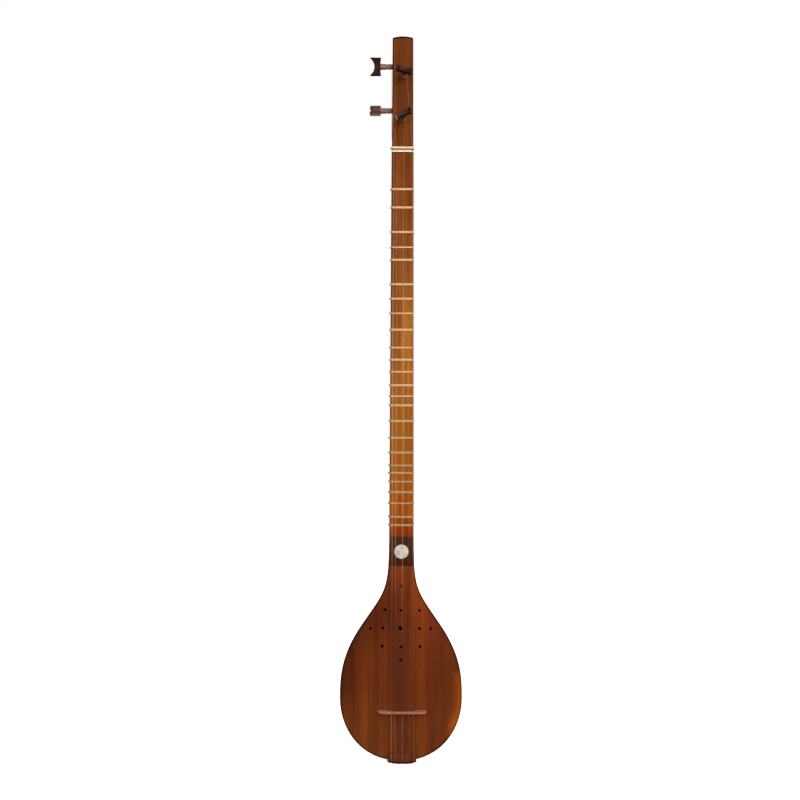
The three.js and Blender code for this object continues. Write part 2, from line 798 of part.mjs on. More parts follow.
function buildBridge() {
  const half = bridge_length / 2;
  const base = glue_gap;
  const floor = string_bridge_rise - string_seat - string_fall * bridge_travel;
  const arch_run = half - bridge_foot_length - bridge_arch_run;
  const shape = new THREE.Shape();
  shape.moveTo(-half, base);
  shape.lineTo(-half + bridge_foot_length, base);
  shape.quadraticCurveTo(-arch_run, bridge_arch_rise, 0, bridge_arch_rise);
  shape.quadraticCurveTo(arch_run, bridge_arch_rise, half - bridge_foot_length, base);
  shape.lineTo(half, base);
  shape.lineTo(half - bridge_end_step, bridge_end_height);
  shape.lineTo(half - bridge_end_slope, bridge_height);
  for (let i = string_bridge_shares.length - 1; i >= 0; i -= 1) {
    const place = bridgeStringPlace(i) - bridge_offset;
    shape.lineTo(place + slot_width / 2, bridge_height);
    shape.lineTo(place + slot_width / 2, floor);
    shape.lineTo(place - slot_width / 2, floor);
    shape.lineTo(place - slot_width / 2, bridge_height);
  }
  shape.lineTo(-half + bridge_end_slope, bridge_height);
  shape.lineTo(-half + bridge_end_step, bridge_end_height);
  shape.lineTo(-half, base);
  const settings = { depth: bridge_foot_thickness, bevelEnabled: false, curveSegments: arch_steps };
  const bridge = new THREE.ExtrudeGeometry(shape, settings);
  bridge.translate(0, 0, -bridge_foot_thickness / 2);
  const place = bridge.attributes.position;
  for (let i = 0; i < place.count; i += 1) {
    const share = place.getY(i) / bridge_height;
    const thickness = between(bridge_foot_thickness, bridge_top_thickness, share);
    place.setZ(i, (place.getZ(i) * thickness) / bridge_foot_thickness);
  }
  const mesh = addPiece('bridge', heightToFront(bridge), bridge_wood);
  mesh.position.set(bridge_offset, 0, bridge_from_tail);
}

// String holder

function holderUnderside(across) {
  const share = (across - holder_offset) / (holder_width / 2);
  for (let i = 1; i < holder_under_shares.length; i += 1) {
    const [low_share, low_rise] = holder_under_shares[i - 1];
    const [high_share, high_rise] = holder_under_shares[i];
    if (share <= high_share) {
      const part = (share - low_share) / (high_share - low_share);
      return holder_corner_rise * between(low_rise, high_rise, part);
    }
  }
  return holder_corner_rise;
}

function holderStringPlace(index) {
  return holder_offset + (string_holder_shares[index] * holder_width) / 2;
}

function buildHolder() {
  const half = holder_width / 2;
  const under = holder_under_shares.map(([across_share, rise_share]) => (
    [holder_offset + across_share * half, rise_share * holder_corner_rise]
  ));
  const outline = [
    ...under,
    [holder_offset + half - holder_lip_taper, holder_lip_height],
    [holder_offset - half + holder_lip_taper, holder_lip_height],
  ];
  let holder = toSolid(slab(shapeOf(outline), -holder_lip_proud, holder_depth));
  holder = holder.subtract(bowlBody(glue_gap, -glue_gap));
  string_holder_shares.forEach((share, index) => {
    const across = holderStringPlace(index);
    const roof = holderUnderside(across) + kerf_depth;
    const kerf = boxBetween(
      new THREE.Vector3(across - slot_width / 2, -holder_lip_proud - overrun, -overrun),
      new THREE.Vector3(across + slot_width / 2, -holder_lip_proud + kerf_length, roof),
    );
    holder = holder.subtract(toSolid(kerf));
  });
  addPiece('string_holder', toGeometry(holder), board_wood);
}

// Pegs and their windings, built in the peg's own directions

const winding_radius = peg_shaft_diameter / 2 + string_seat;
const string_stand = string_seat + glue_gap;
const winding_start = string_stand + string_diameter + glue_gap;

// The turn at which a string from a point touches the winding's circle.
function touchTurn(up, across) {
  return Math.atan2(across, up) + Math.acos(winding_radius / Math.hypot(up, across));
}

function onWinding(turn, along) {
  return new THREE.Vector3(winding_radius * Math.cos(turn), winding_radius * Math.sin(turn), along);
}

// The route of a winding: a straight start, the loops, a bend and a straight end in the peg's hole.
function windingRoute(start_turn) {
  const points = [];
  const start_tangent = new THREE.Vector3(-Math.sin(start_turn), Math.cos(start_turn), 0);
  points.push(onWinding(start_turn, winding_start).addScaledVector(start_tangent, -string_diameter));
  const count = winding_turns * loop_steps;
  for (let i = 0; i <= count; i += 1) {
    const turn = start_turn + (2 * Math.PI * i) / loop_steps;
    points.push(onWinding(turn, winding_start + (winding_pitch * i) / loop_steps));
  }
  const { end, radial, tangent, along } = windingEnd(start_turn);
  const pivot = end.clone().addScaledVector(radial, -winding_bend_radius);
  for (let i = 1; i <= bend_steps; i += 1) {
    const bend = (Math.PI / 2) * (i / bend_steps);
    const point = pivot.clone();
    point.addScaledVector(radial, winding_bend_radius * Math.cos(bend));
    point.addScaledVector(tangent, winding_bend_radius * Math.sin(bend));
    points.push(point);
  }
  const inner = radial.clone().multiplyScalar(string_end_radius);
  inner.addScaledVector(tangent, winding_bend_radius);
  inner.z = along;
  points.push(inner);
  return points;
}

function windingEnd(start_turn) {
  const turn = start_turn + 2 * Math.PI * winding_turns;
  const along = winding_start + winding_pitch * winding_turns;
  const radial = new THREE.Vector3(Math.cos(turn), Math.sin(turn), 0);
  const tangent = new THREE.Vector3(-Math.sin(turn), Math.cos(turn), 0);
  return { end: onWinding(turn, along), radial, tangent, along };
}

// The least gap between parts of a wound tube that lie more than half a loop apart along it.
function leastGap(points, diameter) {
  let least = Infinity;
  for (let i = 0; i < points.length; i += 1) {
    for (let j = i + loop_steps / 2; j < points.length; j += 1) {
      least = Math.min(least, points[i].distanceTo(points[j]) - diameter);
    }
  }
  return least;
}

function knobRing(along, height, thickness, base) {
  const half = thickness / 2;
  const cut = knob_chamfer;
  const corners = [
    [-half + cut, 0], [half - cut, 0], [half, cut], [half, height - cut],
    [half - cut, height], [-half + cut, height], [-half, height - cut], [-half, cut],
  ];
  return corners.map(([across, up]) => new THREE.Vector3(along, across, base + up));
}

function knob(reach, length, turn) {
  const rings = [];
  for (let i = 0; i <= knob_steps; i += 1) {
    const place_share = (2 * i) / knob_steps - 1;
    const flare_share = Math.abs(place_share) ** knob_flare_power;
    const height = between(knob_waist_height, knob_end_height, flare_share);
    const thickness = between(knob_waist_thickness, knob_end_thickness, flare_share);
    rings.push(knobRing((place_share * length) / 2, height, thickness, reach));
  }
  return loft(rings).rotateZ(turn);
}

function buildPeg(peg, start_turn) {
  const { through } = pegFrame(peg);
  const reach = peg.side ? side_peg_reach : front_peg_reach;
  const length = peg.side ? side_knob_length : front_knob_length;
  const radius = peg_shaft_diameter / 2;
  const shaft_length = through - peg_tip_inset;
  const shaft = toSolid(pegBody(radius, peg_tip_diameter / 2, shaft_length, reach + knob_chamfer));
  const collar = new THREE.CylinderGeometry(
    peg_collar_diameter / 2, radius, peg_collar_length, shaft_sides,
  );
  collar.rotateX(Math.PI / 2);
  collar.translate(0, 0, reach - peg_collar_length / 2 + glue_gap);
  const { radial, tangent, along } = windingEnd(start_turn);
  const drill_length = overrun;
  const drill = new THREE.CylinderGeometry(
    string_hole_diameter / 2, string_hole_diameter / 2, drill_length, hole_sides,
  );
  const drill_middle = radial.clone().multiplyScalar(string_hole_floor + drill_length / 2);
  drill_middle.addScaledVector(tangent, winding_bend_radius);
  drill_middle.z = along;
  const outward = new THREE.Vector3(0, 0, 1);
  drill.applyMatrix4(new THREE.Matrix4().makeBasis(tangent, radial, outward.clone().negate()));
  drill.translate(drill_middle.x, drill_middle.y, drill_middle.z);
  const handle = toSolid(knob(reach, length, THREE.MathUtils.degToRad(peg.knob_turn)));
  const solid = shaft.add(toSolid(collar)).add(handle).subtract(toSolid(drill));
  const winding = windingRoute(start_turn);
  console.log(`least gap in winding_${peg.name}: ${leastGap(winding, string_diameter).toFixed(2)} mm`);
  addPiece(`peg_${peg.name}`, placeInHead(toGeometry(solid), peg), peg_wood);
  addPiece(`winding_${peg.name}`, placeInHead(tube(winding, string_radius), peg), string_metal);
}

// Strings

// A place in the instrument as seen from a peg: up the neck and across its axis.
function seenFromPeg(point, frame) {
  const from = new THREE.Vector3().subVectors(point, frame.place);
  return [from.dot(frame.up), from.dot(frame.across)];
}

function stringRoute(index) {
  const peg = pegs[index];
  const frame = pegFrame(peg);
  const nut_across = (string_nut_shares[index] * nut_width) / 2;
  const bridge_across = bridgeStringPlace(index);
  const holder_across = holderStringPlace(index);
  const kerf_height = holderUnderside(holder_across) + kerf_depth - string_seat;
  const slope = (bridge_across - nut_across) / scale_length;
  const over_nut = nut_thickness / 2 + glue_gap;
  const over_bridge = bridge_top_thickness / 2;
  const past_tie = tie_from_tail + tie_width / 2 + glue_gap;
  const end_in_kerf = -holder_lip_proud + kerf_length - glue_gap - string_diameter;

  const points = [
    new THREE.Vector3(holder_across, end_in_kerf, kerf_height),
    new THREE.Vector3(holder_across, -holder_string_rise + string_diameter, kerf_height),
    new THREE.Vector3(holder_across, -holder_string_rise, kerf_height + string_diameter),
    new THREE.Vector3(holder_across, -holder_string_rise, holder_lip_height),
    new THREE.Vector3(bridge_across, -string_bridge_rise, bridge_from_tail - over_bridge),
    new THREE.Vector3(bridge_across, -string_bridge_rise, bridge_from_tail + over_bridge),
    new THREE.Vector3(nut_across, -string_nut_rise, nut_from_tail - over_nut),
    new THREE.Vector3(nut_across, -string_nut_rise, nut_from_tail + over_nut),
  ];
  const aim = nut_across - slope * (past_tie - nut_from_tail);
  points.push(new THREE.Vector3(aim, -string_seat, past_tie));
  let last = points[points.length - 1];
  if (peg.side) {
    const [half] = neckSize(past_tie);
    const face_run = half + string_seat + aim;
    const side_run = frame.place.y - winding_radius + string_seat;
    const share = face_run / (face_run + side_run);
    const height = between(past_tie, frame.place.z, share);
    last = new THREE.Vector3(-half - string_seat, -string_seat, height);
    points.push(last);
  }
  const [up, across] = seenFromPeg(last, frame);
  const start_turn = touchTurn(up, across);
  const touch = onWinding(start_turn, string_stand);
  const tangent = new THREE.Vector3(-Math.sin(start_turn), Math.cos(start_turn), 0);
  touch.addScaledVector(tangent, string_diameter);
  const basis = new THREE.Matrix4().makeBasis(frame.up, frame.across, frame.out).setPosition(frame.place);
  points.push(touch.applyMatrix4(basis));
  return { points, start_turn };
}

function buildStrings() {
  pegs.forEach((peg, index) => {
    const { points, start_turn } = stringRoute(index);
    addPiece(`string_${index + 1}`, tube(points, string_radius), string_metal);
    buildPeg(peg, start_turn);
  });
}

buildBowl();
buildSoundboard();
buildNeck();
buildFacings();
buildNut();
buildFrets();
buildBridge();
buildHolder();
buildStrings();

export default setar;
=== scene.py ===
import json
import math

import bmesh
import bpy
from bpy.props import FloatProperty, FloatVectorProperty, IntProperty, PointerProperty
from mathutils import Color, Matrix, Vector
from mathutils.kdtree import KDTree


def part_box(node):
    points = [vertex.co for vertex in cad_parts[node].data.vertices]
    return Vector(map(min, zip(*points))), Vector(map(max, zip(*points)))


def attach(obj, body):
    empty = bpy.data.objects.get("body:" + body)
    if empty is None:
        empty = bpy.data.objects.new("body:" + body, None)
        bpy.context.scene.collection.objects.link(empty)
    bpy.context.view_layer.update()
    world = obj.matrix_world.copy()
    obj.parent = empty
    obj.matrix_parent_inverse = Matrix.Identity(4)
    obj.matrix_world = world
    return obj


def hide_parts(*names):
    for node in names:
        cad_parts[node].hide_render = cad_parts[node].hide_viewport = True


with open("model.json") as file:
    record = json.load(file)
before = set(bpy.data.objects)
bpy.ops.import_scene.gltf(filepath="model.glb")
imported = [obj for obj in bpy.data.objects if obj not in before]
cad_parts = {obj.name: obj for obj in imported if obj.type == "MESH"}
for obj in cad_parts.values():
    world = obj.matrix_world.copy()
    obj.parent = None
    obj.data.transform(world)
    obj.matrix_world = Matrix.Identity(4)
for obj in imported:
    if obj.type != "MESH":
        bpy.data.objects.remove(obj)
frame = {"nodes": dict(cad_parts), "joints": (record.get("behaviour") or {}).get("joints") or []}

bl_info = {
    "name": "Setar",
    "version": (1, 0, 0),
    "blender": (4, 5, 0),
    "location": "View3D > Sidebar > Setar",
    "description": "Dresses the construction of a setar with its finished surfaces",
    "category": "Add Mesh",
}

# Metres. +Z runs up the neck, the soundboard faces -Y, and +X is to the right from the front.
mm = 0.001
quarter_turn = math.pi / 2
whole_turn = 2 * math.pi
display_white = 255

# Places read from the construction
board_low, board_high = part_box("soundboard")
plate_low, plate_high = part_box("throat_plate")
facing_low, facing_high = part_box("fingerboard")
nut_low, nut_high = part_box("nut")
tie_low, tie_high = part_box("string_tie")
bridge_low, bridge_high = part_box("bridge")
holder_low, holder_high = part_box("string_holder")
disc_low, disc_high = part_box("pearl_disc")
bowl_half = board_high.x
bowl_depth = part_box("bowl_stave_5")[1].y
nut_middle = (nut_low + nut_high) / 2
tie_height = (tie_low.z + tie_high.z) / 2
head_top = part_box("head_cap")[1].z

# Bowl and soundboard
bowl_widest = 76.1 * mm
bowl_tip_width = 18 * mm
stave_count = 9
stave_thickness = 2.8 * mm
rim_gap = 0.1 * mm
rim_front_margin = 0.6 * mm
board_roll_reach = 24 * mm
board_roll_end = 45 * mm
rim_columns = (0, 0.9 * mm, 2 * mm)
# Painted shade line just inside the board's rim, where the rolled edge and the bowl's side turn from the
# light
rim_shade_middle = 0.9 * mm
rim_shade_reach = 1.1 * mm
# Painted highlight inside the board's right rim, where the key light catches the rolled edge
rim_highlight_middle = 2 * mm
rim_highlight_reach = 9 * mm
rim_highlight_low = 26 * mm
rim_highlight_high = 116 * mm
rim_highlight_fade = 25 * mm
# Painted shade over the left of the board, away from the key light
left_shade_reach = 36 * mm
left_shade_low = 35 * mm
left_shade_rise = 65 * mm
left_shade_high = 215 * mm
left_shade_fade = 50 * mm
small_hole_diameter = 3.4 * mm
large_hole_diameter = 4.8 * mm
hole_countersink = 0.25 * mm
overrun = 6 * mm
merge_distance = 0.001 * mm

# Neck and head
shoulder_above_plate = 20.4 * mm
shoulder_half = 14.3 * mm
shoulder_depth = 25.8 * mm
nut_half = 12.9 * mm
nut_depth = 23.6 * mm
head_half = 12.6 * mm
head_depth = 23 * mm
head_top_half = 12.1 * mm
head_top_depth = 22 * mm
head_step = 6 * mm
cap_thickness = 2.2 * mm
cap_crown = 1.7 * mm
cap_glue_line = 0.2 * mm
neck_edge_radius = 2 * mm
facing_edge_radius = 1.6 * mm
glue_line = 0.1 * mm
# Painted shade along the nut's upper edge, in the gap under the tie
nut_shade_band = 1.4 * mm
nut_shade_full = 1 * mm

# Strings, gut and pegs
nut_slot_rise = 1 * mm
string_bend_radius = 1.2 * mm
string_bridge_rise = 7.55 * mm
rest_clearance = 0.05 * mm
knot_from_front = 3 * mm
kerf_length = 5 * mm
kerf_cut_width = 1.2 * mm
kerf_ease = 0.06 * mm
holder_shade_full = 2.4 * mm
holder_shade_end = 3.6 * mm
peg_radius = 3.3 * mm
peg_tip_radius = 2.5 * mm
peg_collar_radius = 3.7 * mm
peg_seat_radius = 2.9 * mm
peg_waist_reach = 7.2 * mm
peg_waist_run = 1 * mm
peg_tip_chamfer = 0.5 * mm
peg_collar_run = 2.4 * mm
peg_fit = 0.08 * mm
peg_tip_inset = 0.6 * mm
side_peg_reach = 14.2 * mm
front_peg_reach = 19 * mm
side_knob_length = 20.2 * mm
front_knob_length = 18 * mm
knob_end_height = 12.3 * mm
knob_waist_height = 7.2 * mm
knob_end_thickness = 6.6 * mm
knob_waist_thickness = 4.8 * mm
knob_corner = 0.9 * mm
knob_tip_half = 0.7 * mm
knob_inner_flare = 0.75 * mm
knob_end_hollow = 0.6 * mm
knob_shade_start = 1 * mm
knob_shade_run = 1.5 * mm
knob_end_dish = ((0.86, 0), (0.7, 0.7), (0.3, 1))
flute_count = 6

winding_from_head = 1.6 * mm
string_from_head = 0.9 * mm
winding_bend_radius = 1 * mm
string_end_radius = 1.6 * mm
string_hole_radius = 0.7 * mm

# The flat end of a peg's shaft, as a share of its tip
peg_tip_share = 0.8

# Rings of a peg's collar: shares of its radius, and how far each stands past the knob's seat
peg_collar_rings = ((0.93, -1.6 * mm), (0.97, -0.8 * mm), (1, 0), (0.96, 0.4 * mm))

# Bridge
bridge_foot_thickness = 3.3 * mm
bridge_top_thickness = 1.6 * mm
bridge_foot_length = 11 * mm
bridge_arch_run = 7 * mm
bridge_arch_rise = 3.5 * mm
bridge_end_height = 4.3 * mm
bridge_end_step = 1.8 * mm
bridge_end_slope = 7 * mm
string_notch_width = 0.9 * mm
string_notch_depth = 1.1 * mm

# How widely the edges of each piece are eased, as shares of the eased edge
ease_shares = {
    "bowl_stave": 0.8, "throat_plate": 0.6, "head_cap": 1.4,
    "nut": 0.7, "string_holder": 0.6, "bridge": 0.8,
}

# The pearl disc's rounded corner, as a share of the eased edge
disc_corner_share = 0.3

# The disc's crown from the outside in, as shares of its radius and of the eased edge
disc_crown_shares = ((0.5, 0.2), (0, 0.25))

# The knot of a tied band and the marks that its two cut ends pass, in radii of the gut
knot_aside = 3.1
knot_reach = 2.1
knot_swing = 1.1
cut_ends = (((-1, 3, 3), (-0.5, 5.5, 5)), ((-1, 3.4, -2.6), (-0.2, 6, -4)))

# The grain of the staves: its width for the bowl's half width, and its steps from stave to stave
stave_grain_width = 0.9
stave_grain_across = 0.37
stave_grain_along = 0.61

# Shares of the outline: sideways of the half width or depth, and upwards of a stretch's height
tail_round_share = 0.6771
side_round_share = 0.4779
side_rise_share = 0.1206
flank_in_share = 0.6619
flank_up_share = 0.3968
flank_handle_in_share = 0.3295
flank_handle_up_share = 0.1666
flank_reach_share = 1.4093
shoulder_flare_share = 0.0077
shoulder_rise_share = 0.4008
lifted_corner_share = 0.6

# A bend takes up no more of the stretch beside it than its length divided by this
bend_leg_divisor = 2.2

# How far short of the kerf's back a string ends, in radii of the string
kerf_end_radii = 4

# Frets that are tied with fewer turns
narrow_frets = (4, 8, 10, 12, 14, 19, 21, 23)
fret_count = 25

# Strings, left to right: shares of the half width at the nut, the bridge and the holder
string_nut_shares = (-0.814, -0.504, 0.116, 0.868)
string_bridge_shares = (-0.421, -0.292, 0.017, 0.473)
string_holder_shares = (-0.724, -0.447, 0.012, 0.818)
bronze_strings = (1, 3)

# Pegs in the order of the strings, and the turn of each knob in degrees
peg_turns = {"side_lower": 58, "side_upper": 0, "front_lower": 114, "front_upper": 74}

# How much darker each knob is than its shaft: its darker wood, with painted shade that differs from peg to
# peg with how each knob faces the light
knob_darkness_and_shade = {"side_lower": 0.44, "side_upper": 1, "front_lower": 0.9, "front_upper": 0.94}

# Sound holes: sideways as shares of the bowl's half width, upwards as shares of the board's length
sound_hole_shares = (
    (-0.004, 0.895), (-0.269, 0.774), (-0.006, 0.771), (0.299, 0.770),
    (-0.503, 0.677), (-0.304, 0.681), (-0.010, 0.679), (0.300, 0.678), (0.483, 0.678),
    (-0.312, 0.587), (-0.003, 0.583), (0.308, 0.586), (-0.006, 0.515),
)
large_hole_index = 6

# Counts that set how finely round shapes are cut
stretch_steps = (26, 20, 20)
board_steps_across = 40
stave_steps_across = 6
throat_steps = 16
neck_steps = 8
head_steps = 4
facing_steps = 24
corner_steps = 6
section_steps = 36
shaft_steps = 40
knob_steps = 48
flute_steps = 48
crown_steps = 24
rim_marks = 3000
loop_steps = 32
bend_steps = 6
hole_steps = 24
disc_steps = 96
knot_steps = 48
arch_steps = 14
measuring_steps = 60
halvings = 40

# Angles in degrees
sharp_edge = 32
flat_join = 1

# A turn small enough to measure how wide the bowl is there, in radians
small_turn = 0.01

# The painted shade along the neck's left edge climbs towards this and stops at 1
left_edge_shade_strength = 1.8

# How far the grain sways, and how its streaks and lines are stretched along it
sway_aside = 6 * mm
sway_back = 4 * mm
streak_stretch = (1.0, 1.0, 0.03)
line_stretch = (1.0, 1.0, 0.008)

# How fine the patterns are, in waves to the metre along X, Y and Z
sway_waves = (9, 9, 5)
pore_waves = (2400, 2400, 90)
ray_waves = (60, 60, 520)
ray_patch_waves = (22, 22, 16)
rubbed_waves = (260, 260, 90)
bone_waves = (900, 900, 160)
gut_waves = (1400, 1400, 1400)
pearl_drift_waves = (150, 150, 150)
pearl_band_waves = (300, 300, 700)
floor_waves = (3, 3, 3)

# Patches left by hands, to the metre
bone_patches = 220.0
gut_patches = 320.0
wire_patches = 160.0

# How the parts of the wood's pattern tell: shares of the mix, tones and depths of the bump
wood_shade = {"Value": 0.62, "Saturation": 1.08}
pore_share = 0.55
pore_tone = 0.35
pore_roughness = 0.2
pore_depth = -1.0
line_depth = -0.3
wood_bump = {"Strength": 0.35, "Distance": 0.06 * mm}
ray_glow = 1.45
handled_share = 0.16
rubbed_glow = 1.7

# The same for wire, for gut and bone, and for pearl
wire_dull_share = 0.6
wire_dull_tone = 0.55
wire_rough = (0.4, 0.6)
fibre_share = 0.45
clouded_share = 0.5
pale_bump = {"Strength": 0.2, "Distance": 0.04 * mm}
pale_specular = 0.4
string_metallic = 0.6
winding_metallic = 0.3
drift_share = 0.6
band_share = 0.4
pearl_rough = (0.16, 0.34)
pearl_bump = {"Strength": 0.15, "Distance": 0.1 * mm}
pearl_coat = 0.3

# Floor, in metres, with its colours in display steps
floor_half = 12
floor_drop = 0.2 * mm
floor_cloud = (250, 250, 250)
floor_clear = (253, 253, 253)
floor_seen_by_light = (120, 120, 120)
floor_rough = 0.9
floor_specular = 0.1

# What the lights aim at, and the place, width and power setting of each softbox, in metres
light_aim = Vector((0, 0, 0.4))
softboxes = {
    "right_softbox": (Vector((1.3, -1.1, 1.6)), 1.5, "key_power"),
    "left_softbox": (Vector((-1.0, -1.6, 0.9)), 1.2, "fill_power"),
    "front_softbox": (Vector((0.5, -2.4, 0.9)), 1.5, "front_power"),
    "back_softbox": (Vector((-0.9, 1.9, 1.3)), 1.5, "back_power"),
}


def display_colour(red, green, blue):
    """A colour given in display steps of 0 to 255, as the scene's own linear colour."""
    shares = Color((red / display_white, green / display_white, blue / display_white))
    return tuple(shares.from_srgb_to_scene_linear())


def length_property(name, description, value):
    return FloatProperty(
        name=name, description=description, default=value, min=0, precision=5,
        unit="LENGTH", subtype="DISTANCE",
    )


def colour_property(name, description, red, green, blue):
    return FloatVectorProperty(
        name=name, description=description, default=display_colour(red, green, blue),
        min=0, max=1, size=3, subtype="COLOR",
    )


def share_property(name, description, value):
    return FloatProperty(
        name=name, description=description, default=value, min=0, max=1, subtype="FACTOR",
    )


def power_property(name, description, watts):
    return FloatProperty(name=name, description=description, default=watts, min=0)


def count_property(name, description, value, least, most):
    return IntProperty(name=name, description=description, default=value, min=least, max=most)


class SetarSizes(bpy.types.PropertyGroup):
    """Sizes of the finished surfaces that a maker would change"""
    gut_diameter: length_property("Gut diameter", "Thickness of the gut of frets and tie", 0.6 * mm)
    gut_pitch: length_property("Gut pitch", "From one turn of a fret to the next", 0.6 * mm)
    string_diameter: length_property("String diameter", "Thickness of the strings", 0.32 * mm)
    winding_pitch: length_property("Winding pitch", "From one turn on a peg to the next", 0.42 * mm)
    winding_turns: count_property("Winding turns", "Turns of string on each peg", 12, 4, 16)
    wide_fret_turns: count_property("Wide fret turns", "Turns of gut in the main frets", 4, 2, 6)
    narrow_fret_turns: count_property("Narrow fret turns", "Turns of gut in the lesser frets", 3, 2, 6)
    board_roll: length_property("Board roll", "How far the board falls away at its edge", 1.1 * mm)
    board_edge: length_property("Board edge", "Radius of the board's rim", 0.5 * mm)
    eased_edge: length_property("Eased edge", "Width of the sanded edge on small pieces", 0.25 * mm)
    stave_gap: length_property("Stave joint", "Width of the line between two staves", 0.12 * mm)
    flute_depth: length_property("Flute depth", "Depth of the flutes cut along the knobs", 0.4 * mm)


class SetarColours(bpy.types.PropertyGroup):
    """Colours of the woods and fittings"""
    board_dark: colour_property("Board, dark", "Dark streaks of the soundboard", 104, 49, 28)
    board_light: colour_property("Board, light", "Light streaks of the soundboard", 165, 79, 35)
    stave_dark: colour_property("Staves, dark", "Dark grain of the bowl", 84, 40, 20)
    stave_light: colour_property("Staves, light", "Light grain of the bowl", 142, 78, 36)
    neck_dark: colour_property("Neck, dark", "Dark grain of the neck and head", 88, 40, 15)
    neck_light: colour_property("Neck, light", "Light grain of the neck and head", 157, 78, 27)
    facing_dark: colour_property("Fingerboard, dark", "Dark grain of the fingerboard", 145, 75, 28)
    facing_light: colour_property("Fingerboard, light", "Light grain of the fingerboard", 214, 128, 54)
    plate_dark: colour_property("Throat plate, dark", "Dark grain of the throat plate", 52, 25, 15)
    plate_light: colour_property("Throat plate, light", "Light grain of the throat plate", 95, 54, 37)
    holder_dark: colour_property("String holder, dark", "Dark grain of the string holder", 87, 42, 25)
    holder_light: colour_property("String holder, light", "Light grain of the string holder", 130, 65, 36)
    cap_dark: colour_property("Head cap, dark", "Dark grain of the head cap", 14, 8, 6)
    cap_light: colour_property("Head cap, light", "Light grain of the head cap", 30, 18, 13)
    peg_dark: colour_property("Pegs, dark", "Dark grain of the pegs", 82, 60, 47)
    peg_light: colour_property("Pegs, light", "Light grain of the pegs", 165, 128, 104)
    bridge_dark: colour_property("Bridge, dark", "Dark grain of the bridge", 148, 96, 73)
    bridge_light: colour_property("Bridge, light", "Light grain of the bridge", 195, 136, 106)
    # Darker than bare wood, as painted shade inside the bowl seen through the sound holes
    block_dark: colour_property("Blocks, dark", "Dark grain of the inner blocks", 58, 40, 26)
    block_light: colour_property("Blocks, light", "Light grain of the inner blocks", 88, 63, 42)
    gut_dark: colour_property("Gut, dark", "Handled gut", 196, 156, 108)
    gut_light: colour_property("Gut, light", "Clean gut", 238, 210, 168)
    bone_dark: colour_property("Bone, dark", "Streaks in the nut", 235, 206, 175)
    bone_light: colour_property("Bone, light", "Body of the nut", 255, 243, 224)
    pearl_cream: colour_property("Pearl, cream", "Warm part of the pearl disc", 210, 198, 178)
    pearl_grey: colour_property("Pearl, grey", "Cool part of the pearl disc", 157, 163, 148)
    tie_dark: colour_property("Tie, dark", "Handled gut of the string tie", 214, 177, 130)
    tie_light: colour_property("Tie, light", "Clean gut of the string tie", 250, 234, 198)
    winding: colour_property("Windings", "Turns of string on the pegs", 177, 145, 122)
    steel: colour_property("Steel", "Plain strings", 250, 212, 186)
    bronze: colour_property("Bronze", "Wound strings", 242, 188, 144)


class SetarStage(bpy.types.PropertyGroup):
    """Camera and lights"""
    lens: FloatProperty(
        name="Lens", description="Focal length", default=50, min=10, subtype="DISTANCE_CAMERA",
    )
    distance: length_property("Distance", "From the soundboard to the camera", 1299 * mm)
    height: length_property("Height", "Height of the camera", 424.8 * mm)
    aside: FloatProperty(
        name="Aside", description="Camera's place to the right of the middle", default=-2.15 * mm,
        unit="LENGTH", subtype="DISTANCE", precision=5,
    )
    roll: FloatProperty(
        name="Roll", description="Lean of the camera", default=math.radians(-0.179), subtype="ANGLE",
    )
    key_power: power_property("Key light", "Power of the right light", 33)
    fill_power: power_property("Fill light", "Power of the left light", 8)
    front_power: power_property("Front light", "Power of the front light", 39)
    back_power: power_property("Back light", "Power of the light behind", 24)
    room_light: share_property("Room light", "Even light from all round", 0.16)
    floor_glow: share_property("Floor glow", "How bright the floor looks by itself", 0.9)


def sizes():
    return bpy.context.scene.setar_sizes


def colours():
    return bpy.context.scene.setar_colours


# Outline of the bowl

shoulder_height = plate_high.z + shoulder_above_plate
bowl_foot = board_low.z
neck_joint = board_high.z
neck_end = plate_low.z
board_back = board_high.y
bowl_rim = board_back + rim_gap
bowl_rise = shoulder_height - bowl_widest


def outline_curves(reach, neck_reach):
    """Control points of the half outline, tail to shoulder, for a half width or a depth."""
    low = bowl_foot
    wide = bowl_widest
    flank = Vector((flank_in_share * reach, wide + flank_up_share * bowl_rise))
    handle = Vector((flank_handle_in_share * reach, -flank_handle_up_share * bowl_rise))
    flare = shoulder_flare_share * reach
    fall = shoulder_rise_share * bowl_rise
    return (
        (
            Vector((0, low)), Vector((tail_round_share * reach, low)),
            Vector((reach, wide - side_round_share * (wide - low))), Vector((reach, wide)),
        ),
        (
            Vector((reach, wide)), Vector((reach, wide + side_rise_share * bowl_rise)),
            flank + handle, flank,
        ),
        (
            flank, flank - flank_reach_share * handle,
            Vector((neck_reach + flare, shoulder_height - fall)), Vector((neck_reach, shoulder_height)),
        ),
    )


def curve_point(curve, share):
    a, b, c, d = curve
    rest = 1 - share
    return rest**3 * a + 3 * rest**2 * share * b + 3 * rest * share**2 * c + share**3 * d


def share_where(curve, axis, value):
    """Share of a curve at which one coordinate reaches a value."""
    low, high = 0, 1
    for _ in range(halvings):
        middle = (low + high) / 2
        if curve_point(curve, middle)[axis] < value:
            low = middle
        else:
            high = middle
    return (low + high) / 2


side_curves = outline_curves(bowl_half, shoulder_half)
back_curves = outline_curves(bowl_depth, shoulder_depth)
tip_share = share_where(side_curves[0], 0, bowl_tip_width / 2)
joint_share = share_where(side_curves[2], 1, neck_joint)
stretch_ends = ((tip_share, 1), (0, 1), (0, joint_share))


def station(share):
    """Which curve, and the share of it, at a share of the way from the tail to the neck joint."""
    steps_along = share * sum(stretch_steps)
    for which, steps in enumerate(stretch_steps):
        if steps_along <= steps or which == len(stretch_steps) - 1:
            first, last = stretch_ends[which]
            return which, first + (last - first) * steps_along / steps
        steps_along -= steps


